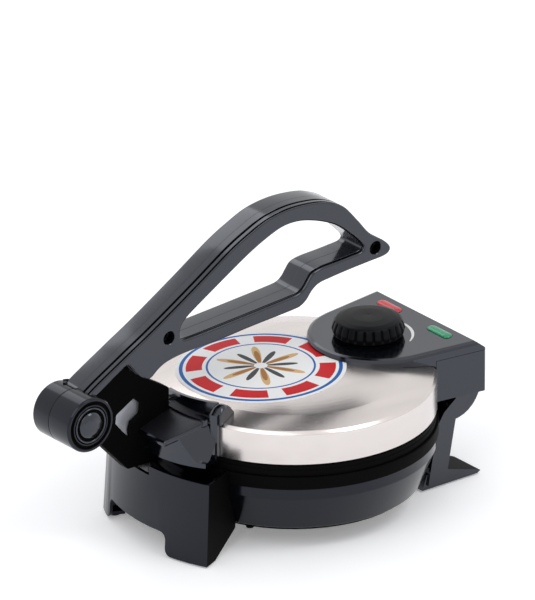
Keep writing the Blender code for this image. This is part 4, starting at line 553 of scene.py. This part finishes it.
def swept(loop, section, into):
    """The edge section carried along a closed outline: a section point (inset, y) moves each
    outline point by the inset along its normal. Into is 1 for the outer edge, -1 for a hole."""
    along = np.roll(loop, -1, 0) - np.roll(loop, 1, 0)
    normal = np.stack([-along[:, 1], along[:, 0]], -1) / np.linalg.norm(along, axis=1, keepdims=True)
    area = np.sum(loop[:, 0] * np.roll(loop[:, 1], -1) - loop[:, 1] * np.roll(loop[:, 0], -1))
    inward = normal * np.sign(area) * into
    rings = loop[:, None] + inward[:, None] * section[None, :, :1]
    y = np.broadcast_to(section[None, :, 1:], rings[..., :1].shape)
    return np.concatenate([rings[..., :1], y, rings[..., 1:]], -1)


def closed_by_faces(walls, faces_at):
    """Points and faces of walls, each a closed loop of sections, shut by flat faces. Each flat
    face is given by the walls and the section's end (0 or -1) whose rings bound it."""
    points, faces, rings, count = [], [], {}, 0
    for number, wall in enumerate(walls):
        rows, columns = wall.shape[:2]
        points.append(wall.reshape(-1, 3))
        faces += (grid_faces(rows, columns, True, False) + count).tolist()
        rings[number, 0] = count + columns * np.arange(rows)
        rings[number, -1] = count + columns * np.arange(rows) + columns - 1
        count += rows * columns
    points = np.concatenate(points)
    for bounds in faces_at:
        index = np.concatenate([rings[bound] for bound in bounds])
        loops = [[Vector((*points[i, ::2], 0)) for i in rings[bound]] for bound in bounds]
        faces += [[int(index[i]) for i in face] for face in tessellate_polygon(loops)]
    return points, faces


def rounded_sides(near, far, radius, steps=5):
    """Section of a slab between two y, with both edges rounded by a quarter circle and a
    narrow flat rim inside it, so that the flat faces shade flat."""
    t = np.linspace(0, math.pi / 2, steps)
    inset = np.concatenate([[radius + 0.6], radius * (1 - np.sin(t))])
    back = np.concatenate([[0.0], radius * (1 - np.cos(t))])
    return np.concatenate([np.stack([inset, near + back], -1), np.stack([inset, far - back], -1)[::-1]])


def joined(name, parts):
    """One piece of several closed shells that run into each other, in metres from mm."""
    counts = np.cumsum([0] + [len(points) for points, _ in parts])
    faces = [[i + int(n) for i in face] for (_, part), n in zip(parts, counts) for face in part]
    points = np.concatenate([points for points, _ in parts]) * MM + np.array(AXIS)
    return surface(name, points, faces)


def tongue_face(x, y, z, nx, ny, nz):
    """The tongue's top, which is satin."""
    return (nz > 0.85) & (z < CREASE_Z - 0.1) & (x < -TONGUE_BACK - 0.5)


tongue_outline = eased(np.array([
    (-TONGUE_BACK, 111.7), (-TONGUE_BACK, 112.6), (-149.5, 98.5), (-149.5, 93.6), (-117.2, 103.2),
    (-115.9, 110.0),
]), 2.2)
tongue_walls = [swept(tongue_outline, rounded_sides(TONGUE_NEAR_Y, TONGUE_FAR_Y, 1.6), 1)]
tongue_points, tongue_faces = closed_by_faces(tongue_walls, [[(0, 0)], [(0, -1)]])
nearness = np.clip((TONGUE_FAR_Y - tongue_points[:, 1]) / (TONGUE_FAR_Y - TONGUE_NEAR_Y), 0, 1)
tongue_points[:, 1] += nearness * (near_edge(tongue_points[:, 0]) - TONGUE_NEAR_Y)
bracket = joined("lid_bracket", bracket_parts() + [(tongue_points, tongue_faces)])
fit(edge_rounded(bracket, 0.9, 35), "lid", "black_gloss", polished_abs, "front_bracket")
satin_abs = moulded_finish("abs_black_satin_moulded", "#0d0d11", "#16161b", 0.8,
                           (0.42, 0.52), 0.010, Specular_Tint=(0.85, 0.88, 1.0, 1.0))
recoat(bracket, satin_abs, tongue_face)

# Lever arm: a deep black web that carries the lever's pivot. Its matt, nearly unreflecting black is
# painted shade, for the shadow under the handle. It rises from the bracket close beside the handle
# and ends in the far part of the barrel, which is glossy.
# A pale folded plate shows in its window. Its pale grey is a painted highlight: it stands in for the
# light that a glossy facet there mirrors.
PIVOT = next(j for j in frame["joints"] if j["name"] == "handle_pivot")["pos_m"]
PIVOT_X, PIVOT_Z = (PIVOT[0] - LID_AXIS_X) / MM, PIVOT[2] / MM
ARM_NEAR_Y, ARM_FAR_Y = 10.0, 20.5
BARREL_R, BARREL_BORE, BARREL_END, FAR_SEAM, BARREL_TURNS = 23.0, 6.4, 23.2, 2.3, 160
GROOVE_IN, GROOVE_OUT, CAP_GROOVE_IN, CAP_GROOVE_OUT = 17.2, 20.2, 10.4, 13.3
PLATE_EDGE = ((-174, 92), (-174, 120), (-153, 129), (-144, 122), (-144, 92))
PLATE_FOLD, PLATE_SIDES, FOLD_Y = ((-171, 118), (-158.5, 92.5)), (14.5, 16), 12.0
ARM_SIDES = rounded_sides(ARM_NEAR_Y, ARM_FAR_Y, 0.8, 4)
ARM_OUTLINE = eased(np.array([
    (-209.4, 150.6), (-203.0, 156.2), (-190.0, 164.0), (-180.0, 167.6), (-172.0, 166.8), (-162.5, 161.6),
    (-152.5, 151.8), (-146.0, 145.4), (-139.0, 139.4), (-118.2, 126.4), (-118.2, 66.5), (-160.0, 66.5),
    (-215.0, 125.3),
]), 1.5)
ARM_WINDOW = eased(np.array([
    (-171.5, 116.6), (-153.6, 126.9), (-146.0, 119.7), (-146.8, 111.2), (-157.0, 106.7), (-159.5, 100.2),
    (-158.7, 94.1), (-165.5, 101.1), (-172.3, 109.6),
]), 0.5)


def barrel_points(side, end, seam):
    """Profile of a hollow barrel half from its seam to its grooved end, in mm along Y."""
    deep, floor = end - 3.0 * side, end - 2.2 * side
    return [(BARREL_BORE, seam), (BARREL_R - 0.2, seam), (BARREL_R, seam + 0.25 * side),
            (BARREL_R, end - 1.4 * side), (BARREL_R - 1, end), (20.3, end), (19.8, floor),
            (17.6, floor), (17.1, end), (15.9, end), (15.4, deep), (BARREL_BORE, deep)]


def from_pivot(x, z):
    """Distance from the pivot's axis in mm."""
    return np.hypot(x - PIVOT_X, z - PIVOT_Z)


def in_groove(x, y, z, nx, ny, nz):
    """The ring grooves in the barrel's ends and round the caps' domes, made matt and nearly unreflecting:
    painted shade in the grooves.
    """
    r, out = from_pivot(x, z), np.abs(y)
    in_barrel = (r > GROOVE_IN) & (r < GROOVE_OUT) & (out < 23.0) & (out > 20)
    in_cap = (r > CAP_GROOVE_IN) & (r < CAP_GROOVE_OUT) & (out < 22.7)
    return in_barrel | in_cap


def arm_web(x, y, z, nx, ny, nz):
    """All of the arm that lies outside the barrel: the web, which gets painted shade."""
    return from_pivot(x, z) > BARREL_R + 0.5


def plate_face(x, y, z, nx, ny, nz):
    """The pale plate's faces that show in the window, which carry its painted highlight."""
    return (x > PIVOT_X + 30) & (ny < -0.5) & (y > ARM_NEAR_Y + 1.5)


def merge(piece, other, sharp_degrees=30):
    """Adds another closed shell to the piece that carries it and removes the loose one."""
    work = bmesh.new()
    work.from_mesh(piece.data)
    work.from_mesh(other.data)
    work.to_mesh(piece.data)
    work.free()
    bpy.data.objects.remove(other)
    piece.data.set_sharp_from_angle(angle=math.radians(sharp_degrees))


def folded_plate():
    """The pale plate of painted highlight: the convex hull of its edge on both sides and its raised fold.
    """
    corners = [(x, y, z) for x, z in PLATE_EDGE for y in PLATE_SIDES]
    hull = bmesh.new()
    for corner in corners + [(x, FOLD_Y, z) for x, z in PLATE_FOLD]:
        hull.verts.new(Vector(corner) * MM + Vector(AXIS))
    bmesh.ops.convex_hull(hull, input=hull.verts)
    mesh = bpy.data.meshes.new("arm_plate")
    hull.to_mesh(mesh)
    hull.free()
    return placed("arm_plate", mesh)


arm = joined("arm", [closed_by_faces(
    [swept(ARM_OUTLINE, ARM_SIDES, 1), swept(ARM_WINDOW, ARM_SIDES, -1)],
    [[(0, 0), (1, 0)], [(0, -1), (1, -1)]],
)])
far_profile = barrel_points(1, BARREL_END, FAR_SEAM)
merge(arm, folded_plate())
merge(arm, turned("barrel_far", far_profile, FINE_EASE, PIVOT, "Y", BARREL_TURNS))
fit(arm, "lid", "black_gloss", gloss_abs, "lever_arm")
# Painted highlight: the plate's pale grey stands in for the light that a glossy facet there mirrors.
painted_highlight_plate = moulded_finish("pale_plate_painted_highlight", "#d3d6dc", "#e2e4e9", 0.8,
                             (0.30, 0.42), 0.004, metallic=1.0)
# Painted shade: the web gets the matt, nearly unreflecting black.
recoat(arm, matt_black_and_painted_shade, arm_web)
# Painted shade: the ring grooves get the matt, nearly unreflecting black.
recoat(arm, matt_black_and_painted_shade, in_groove)
# The plate's faces in the window get the pale grey of painted highlight.
recoat(arm, painted_highlight_plate, plate_face)
coat(coated_steel, "arm_screw_inner", "arm_screw_outer")

# Control hood and panel: the black housing over the hinge, with its cap of the same ABS.
# The cap's top edge is rounded and its rear slopes down to the hood. Two zinc-plated screws
# hold the hood.
fit(softened("control_hood", "hood", 0.9, 20), "lid", "black_gloss", polished_abs, "control_hood")
fit(softened("control_panel", "panel", 0.6, 14), "lid", "black_gloss", polished_abs, "control_panel")
coat(zinc_plate, "hood_screw_near", "hood_screw_far")

# Scale: a white arc printed on the panel beside the knob, thickest at its middle.
# Screen-printed ink, slightly raised and more matt than the ABS under it.
knob_low, knob_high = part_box("thermostat_knob")
panel_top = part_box("control_panel")[1].z
KNOB_X = (knob_low.x + knob_high.x) / 2
SCALE_R, SCALE_HALF, SCALE_SWELL, INK_THICK, SCALE_ROWS = 35.6, 0.5, 0.8, 0.06, 60
t = np.linspace(math.radians(-60), math.radians(12), SCALE_ROWS)[:, None]
half = SCALE_HALF + SCALE_SWELL * np.sin(np.linspace(0, math.pi, SCALE_ROWS))[:, None]
ring_r = (SCALE_R + half * np.array([[-1.0, 1.0, 1.0, -1.0]])) * MM
ring_z = np.broadcast_to(np.array([[0.0, 0.0, INK_THICK, INK_THICK]]) * MM + panel_top, ring_r.shape)
arc_points = np.stack([KNOB_X + ring_r * np.cos(t), ring_r * np.sin(t), ring_z], -1).reshape(-1, 3)
ends = [[0, 1, 2, 3], list(range(4 * SCALE_ROWS - 4, 4 * SCALE_ROWS))]
arc_faces = grid_faces(SCALE_ROWS, 4, False, True).tolist() + ends
white_ink = moulded_finish("screen_ink_white", "#e6e6e4", "#f2f2f0", 0.3, (0.50, 0.62), 0.004)
fit(surface("scale_arc", arc_points, arc_faces), "lid", "black_gloss", white_ink)

# Lamps: two stadium lenses of clear tinted polycarbonate, moulded with a domed top, pressed
# into pale PBT holders. Light goes some way in, so their edges glow in their own colour.
lens_red = moulded_finish("polycarbonate_lens_red", "#d8122a", "#f03048", 2.0, (0.10, 0.16), 0.002,
                          IOR=1.585, Transmission_Weight=0.25)
lens_green = moulded_finish("polycarbonate_lens_green", "#0b8f5e", "#1cb47f", 2.0, (0.12, 0.20), 0.002,
                            IOR=1.585, Transmission_Weight=0.25)
LENS_DOME, LENS_TURNS, LENS_RINGS = 0.8, 96, 20


def lens(name, node):
    """A domed stadium: its rings rise from the lens's foot to its top. At the dome's angle a,
    from 0 to a quarter turn, a ring is cos a as wide and lies sin a of the way up."""
    low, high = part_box(node)
    middle_x, middle_y = (low.x + high.x) / 2, (low.y + high.y) / 2
    radius, reach = (high.x - low.x) / 2, (high.y - low.y) / 2 - (high.x - low.x) / 2
    t = np.linspace(0, 2 * math.pi, LENS_TURNS, endpoint=False)
    dome = np.linspace(0, math.pi / 2, LENS_RINGS)
    shrink = np.concatenate([[0.0, 1.0, 1.0], np.cos(dome[1:])])
    rise = high.z + LENS_DOME * MM - panel_top
    height = np.concatenate([[low.z, low.z, panel_top], panel_top + rise * np.sin(dome[1:])])
    x = middle_x + np.outer(np.cos(t), shrink) * radius
    straight = np.outer(np.sign(np.sin(t)), shrink > 0) * reach
    y = middle_y + np.outer(np.sin(t), shrink) * radius + straight
    y = np.where(shrink[None, :] > 0.01, y, middle_y)
    points = np.stack([x, y, np.broadcast_to(height, x.shape)], -1).reshape(-1, 3)
    return surface(name, points, grid_faces(LENS_TURNS, len(shrink), True, False), 70)


fit(lens("lamp_red", "red_lamp_lens"), "lid", "red_lens", lens_red, "red_lamp_lens")
fit(lens("lamp_green", "green_lamp_lens"), "lid", "green_lens", lens_green, "green_lamp_lens")
pale_pbt = moulded_finish("pbt_pale_moulded", "#d2cfc8", "#e0ddd6", 0.5, (0.45, 0.60), 0.010)
coat(pale_pbt, "red_lamp_holder", "green_lamp_holder")

# Thermostat: a nickel-plated brass body, of a warm grey, with a zinc-plated shaft. It hangs
# under the panel, and its shaft carries the knob.
nickel_brass = moulded_finish("brass_nickel_plated", "#b5aa94", "#c9bfaa", 0.4,
                              (0.28, 0.40), 0.003, metallic=1.0)
coat(nickel_brass, "thermostat")
coat(zinc_plate, "thermostat_shaft")

# Thermostat knob: satin black phenolic, moulded with 24 grip grooves round its skirt and a
# domed top, pushed on the shaft. The satin gives its top a soft grey sheen.
satin_phenolic = moulded_finish("phenolic_black_satin_moulded", "#060607", "#0c0c0d", 0.5, (0.36, 0.46),
                                0.012, Specular_IOR_Level=0.11, Specular_Tint=(0.85, 0.90, 1.0, 1.0))
KNOB_GROOVES, GROOVE_DEPTH, GROOVE_WIDTH, KNOB_TURNS = 24, 2.0, 0.42, 576
GROOVE_LOW, GROOVE_TOP, SKIRT_R = 2.6, 13.2, 24
knob_profile = eased(np.array([
    (23.5, 0.0), (23.5, 1.6), (27.6, 1.6), (28.4, 2.2), (29.6, 6.2), (27.5, 12.2), (25.9, 14.2),
    (21.4, 15.6), (13.4, 16.5), (0.02, 16.8), (0.02, 0.0),
], float), 0.9)
t = np.linspace(0, 2 * math.pi, KNOB_TURNS, endpoint=False)[:, None]
r, h = knob_profile.T[:, None, :]
groove = np.exp(-(np.sin(KNOB_GROOVES * t / 2) / GROOVE_WIDTH) ** 2)
band = np.clip(h - GROOVE_LOW, 0, 1) * np.clip(GROOVE_TOP - h, 0, 1) * (r > SKIRT_R)
r = r - GROOVE_DEPTH * groove * band
knob_points = np.stack([r * np.cos(t), r * np.sin(t), np.broadcast_to(h, r.shape)], -1).reshape(-1, 3)
knob_points = knob_points * MM + np.array([KNOB_X, 0, knob_low.z])
knob = surface("knob", knob_points, grid_faces(KNOB_TURNS, len(knob_profile)), 60)
fit(knob, "knob", "black_matt", satin_phenolic, "thermostat_knob")

# Lever handle: two polished ABS halves screwed together at mid-plane, with a fine seam, a
# double groove near the near edge, and two deep round screw recesses on the near side. The
# outlines are shares of the lever's reach and rise from the pivot; the sections are in mm.
REACH, RISE, HALF_WIDTH = 310.4, 127.98, 15.8
UPPER = (
    (0.012, 0.175), (0.129, 0.340), (0.208, 0.445), (0.290, 0.562), (0.372, 0.683), (0.470, 0.832),
    (0.536, 0.914), (0.602, 0.977), (0.677, 1.000), (0.755, 0.985), (0.805, 0.950), (0.852, 0.885),
    (0.893, 0.775), (0.934, 0.656), (0.980, 0.575), (0.998, 0.531), (0.997, 0.496), (0.979, 0.472),
)
LOWER = (
    (0.931, 0.464), (0.865, 0.453), (0.799, 0.438), (0.765, 0.426), (0.743, 0.395), (0.725, 0.344),
    (0.706, 0.314), (0.677, 0.301), (0.536, 0.279), (0.438, 0.259), (0.338, 0.250), (0.274, 0.230),
    (0.242, 0.199), (0.214, 0.152), (0.193, 0.168), (0.168, 0.227), (0.142, 0.290), (0.110, 0.255),
    (0.030, 0.145),
)
OPENING = (
    (0.311, 0.391), (0.316, 0.438), (0.332, 0.480), (0.356, 0.520), (0.438, 0.639), (0.536, 0.777),
    (0.602, 0.852), (0.651, 0.889), (0.701, 0.889), (0.751, 0.859), (0.799, 0.812), (0.839, 0.754),
    (0.882, 0.662), (0.910, 0.586), (0.905, 0.553), (0.870, 0.544), (0.832, 0.538), (0.773, 0.531),
    (0.744, 0.512), (0.728, 0.469), (0.717, 0.434), (0.699, 0.406), (0.660, 0.395), (0.602, 0.385),
    (0.470, 0.363), (0.338, 0.344), (0.316, 0.355),
)
SCREWS = ((0.2735, 0.3875), (0.9490, 0.5480))
RECESS_R, RECESS_DEPTH, RECESS_EDGE, RECESS_TURNS = 5.6, 9.0, 0.4, 32
NEAR_SEAM, FAR_CLEAR_R = 1.9, 23.4
SEAM_EDGE = [(0.08, 0.03), (0.0, 0.16)]
FAR_SECTION = np.array(SEAM_EDGE + [
    (0.0, 13.6), (0.15, 14.5), (0.60, 15.2), (1.20, 15.6), (2.0, HALF_WIDTH), (2.6, HALF_WIDTH),
])
NEAR_SECTION = np.array(SEAM_EDGE + [
    (0.0, 7.0), (0.2, 7.2), (2.2, 7.4), (2.2, 9.5), (0.2, 9.7), (0.0, 9.9),
    (0.0, 12.9), (0.2, 13.1), (1.8, 13.3), (1.8, 14.5), (0.5, 14.7), (0.5, 15.1),
    (0.8, 15.55), (1.4, HALF_WIDTH), (2.0, HALF_WIDTH),
])
OPENING_SECTION = np.array(SEAM_EDGE + [
    (0.0, 11.9), (0.2, 12.1), (1.5, 12.3), (1.5, 13.1), (0.1, 13.3), (0.25, 14.1),
    (0.65, 14.9), (1.25, 15.5), (2.0, HALF_WIDTH), (2.6, HALF_WIDTH),
])


def flowing(shares, steps=16, spacing=1.6):
    """A closed Catmull-Rom curve through the outline's shares, in mm from the pivot, laid out
    again in points of even spacing."""
    p = np.array(shares) * (REACH, RISE)
    p0, p1, p2, p3 = (np.roll(p, k, 0)[:, None] for k in (1, 0, -1, -2))
    t = (np.arange(steps) / steps)[None, :, None]
    curve = (2 * p1 + (p2 - p0) * t + (2 * p0 - 5 * p1 + 4 * p2 - p3) * t ** 2
             + (3 * p1 - p0 - 3 * p2 + p3) * t ** 3) / 2
    curve = curve.reshape(-1, 2)
    curve = np.concatenate([curve, curve[:1]])
    run = np.concatenate([[0.0], np.cumsum(np.linalg.norm(np.diff(curve, axis=0), axis=1))])
    even = np.linspace(0, run[-1], int(run[-1] / spacing), endpoint=False)
    return np.stack([np.interp(even, run, curve[:, 0]), np.interp(even, run, curve[:, 1])], -1)


def handle_half(name, side):
    """Walls swept along the outline and the finger opening, closed by a flat face on each side;
    on the near half the face also has the two recesses, with their walls and floors. The far
    half's outline keeps clear of the arm's barrel."""
    near = side < 0
    outer = flowing(UPPER + LOWER)
    if not near:
        outer = outer * np.maximum(1, FAR_CLEAR_R / np.linalg.norm(outer, axis=1, keepdims=True))
    walls = [swept(outer, NEAR_SECTION if near else FAR_SECTION, 1),
             swept(flowing(OPENING), OPENING_SECTION if near else FAR_SECTION, -1)]
    flat_faces = [[(0, -1), (1, -1)], [(0, 0), (1, 0)]]
    t = np.linspace(0, 2 * math.pi, RECESS_TURNS, endpoint=False)[:, None]
    hole = np.array([(HALF_WIDTH - RECESS_DEPTH, 0.0), (HALF_WIDTH - RECESS_EDGE, 0.0),
                     (HALF_WIDTH, RECESS_EDGE)])
    for number, share in enumerate(SCREWS if near else (), 2):
        middle = np.array(share) * (REACH, RISE)
        r = RECESS_R + hole[None, :, 1]
        y = np.broadcast_to(hole[None, :, 0], (RECESS_TURNS, len(hole)))
        walls.append(np.stack([middle[0] + r * np.cos(t), y, middle[1] + r * np.sin(t)], -1))
        flat_faces[0].append((number, -1))
        flat_faces.append([(number, 0)])
    points, faces = closed_by_faces(walls, flat_faces)
    points = points * (1, side, 1) * MM + np.array(PIVOT)
    return surface(name, points, faces, 30)


def on_barrel(x, y, z, nx, ny, nz):
    """The near half's part of the barrel."""
    return from_pivot(x, z) < BARREL_R + 0.3


near_half = handle_half("handle_near", -1)
near_profile = barrel_points(-1, -BARREL_END, NEAR_SEAM)
merge(near_half, turned("barrel_near", near_profile, FINE_EASE, PIVOT, "Y", BARREL_TURNS))
fit(near_half, "handle", "black_gloss", polished_abs, "handle_near_half")
recoat(near_half, gloss_abs, on_barrel)
# Painted shade: the barrel's ring grooves get the matt, nearly unreflecting black.
recoat(near_half, matt_black_and_painted_shade, in_groove)
fit(handle_half("handle_far", 1), "handle", "black_gloss", polished_abs, "handle_far_half")
coat(coated_steel, "handle_screw_front", "handle_screw_tip")

# Pivot caps: domed glossy caps pressed into the barrel's ends, with a raised ring round
# the dome, over the zinc-plated steel pin that joins arm and handle.
CAP_BASE, CAP_TURNS = 20.2, 128
CAP_DOME = ((0.02, 0.3), (15.1, 0.3), (15.1, 3.0), (14.4, 3.7), (13.5, 3.2), (13.0, 1.7), (11.4, 1.7),
            (11.1, 3.0), (9.7, 4.3), (7.4, 5.3), (4.4, 6.0), (0.02, 6.3))
for end, side, body in (("near", -1, "handle"), ("far", 1, "lid")):
    profile = [(r, side * (CAP_BASE + h)) for r, h in CAP_DOME]
    cap = turned(f"cap_{end}", profile, FINE_EASE, PIVOT, "Y", CAP_TURNS)
    fit(cap, body, "black_gloss", polished_abs, f"pivot_cap_{end}")
    # Painted shade: the cap's ring groove gets the matt, nearly unreflecting black.
    recoat(cap, matt_black_and_painted_shade, in_groove)
coat(zinc_plate, "pivot_pin")

# Studio: a white paper floor that keeps the shadow, a white surround, and three large soft
# lamps: the key lamp on the lever side, a second in front for the edges, and a weak one
# behind for the lid's rim. The floor glows a little, so that it is as white as the surround.
FLOOR_REACH, FLOOR_GLOW, SKY = 4, 0.23, (0.71, 0.72, 0.75, 1)
LAMPS = (
    ("key", (-1.5, -0.7, 1.7), 1.4, 9),
    ("edge", (0.6, -1.2, 1.9), 0.8, 7.5),
    ("back", (0.23, 1.33, 1.43), 0.8, 2.5),
)
LAMPS_AIM, WHITE = Vector((0, 0, 0.1)), (1, 1, 1, 1)
floor_mesh = bpy.data.meshes.new("floor")
corners = [(x * FLOOR_REACH, y * FLOOR_REACH, 0) for x, y in ((-1, -1), (1, -1), (1, 1), (-1, 1))]
floor_mesh.from_pydata(corners, [], [(0, 1, 2, 3)])
floor = placed("floor", floor_mesh)
paper_floor = moulded_finish("paper_sweep_white", "#fafafa", "#ffffff", 2.0, (0.85, 0.95), 0.01)
floor.data.materials.append(paper_floor)


def seen_directly(tree):
    """1 on rays from the camera, in mirrors and through glass, and 0 on the light that the
    object receives."""
    path = add_node(tree, "LightPath", {}, {})
    seen = add_node(tree, "Math", {"operation": "MAXIMUM"},
                    {0: path.outputs["Is Camera Ray"], 1: path.outputs["Is Glossy Ray"]})
    return add_node(tree, "Math", {"operation": "MAXIMUM"},
                    {0: seen.outputs[0], 1: path.outputs["Is Transmission Ray"]}).outputs[0]


tree = paper_floor.node_tree
glow = add_node(tree, "Math", {"operation": "MULTIPLY", 1: FLOOR_GLOW}, {0: seen_directly(tree)})
shader = tree.nodes["Principled BSDF"]
shader.inputs["Emission Color"].default_value = WHITE
tree.links.new(glow.outputs[0], shader.inputs["Emission Strength"])
floor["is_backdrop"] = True

world = bpy.data.worlds.new("studio")
bpy.context.scene.world = world
world.use_nodes = True
tree = world.node_tree
sky = add_node(tree, "Mix", {"data_type": "RGBA", 6: SKY, 7: WHITE}, {0: seen_directly(tree)})
tree.links.new(sky.outputs[2], tree.nodes["Background"].inputs["Color"])
for name, place, size, power in LAMPS:
    lamp = bpy.data.lights.new(name, "AREA")
    lamp.size = size
    lamp.energy = power
    holder = placed(name, lamp)
    holder.location = place
    holder.rotation_mode = "QUATERNION"
    holder.rotation_quaternion = (LAMPS_AIM - Vector(place)).to_track_quat("-Z", "Y")

# Camera: fitted to the circles of the lid, far off with a long lens, 24 degrees above the
# table on the lever side. Its aim is moved right and up for the framing, so it needs no shift.
AZIMUTH, ELEVATION, DISTANCE, LENS = math.radians(-38.5), math.radians(24.0), 19.167, 1440
AIM_Z, AIM_RIGHT, AIM_UP = 0.0805, -0.0206, 0.0846
back = Vector((math.sin(AZIMUTH) * math.cos(ELEVATION), -math.cos(AZIMUTH) * math.cos(ELEVATION),
               math.sin(ELEVATION)))
right = Vector((math.cos(AZIMUTH), math.sin(AZIMUTH), 0))
up = back.cross(right)
aim = Vector((LID_AXIS_X, 0, AIM_Z)) + right * AIM_RIGHT + up * AIM_UP
camera_data = bpy.data.cameras.new("camera")
camera = placed("camera", camera_data)
bpy.context.scene.camera = camera
camera.location = aim + back * DISTANCE
camera.rotation_mode = "QUATERNION"
camera.rotation_quaternion = (-back).to_track_quat("-Z", "Y")
camera_data.sensor_width = 36
camera_data.lens = LENS
camera_data.clip_end = 60
bpy.context.scene.view_settings.view_transform = "Standard"


def plain(value):
    """The bounds as plain lists of numbers, whatever holds them."""
    return [plain(v) for v in value] if hasattr(value, "__len__") else float(value)


{"cad": plain(cad_box), "visual": plain(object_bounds())}
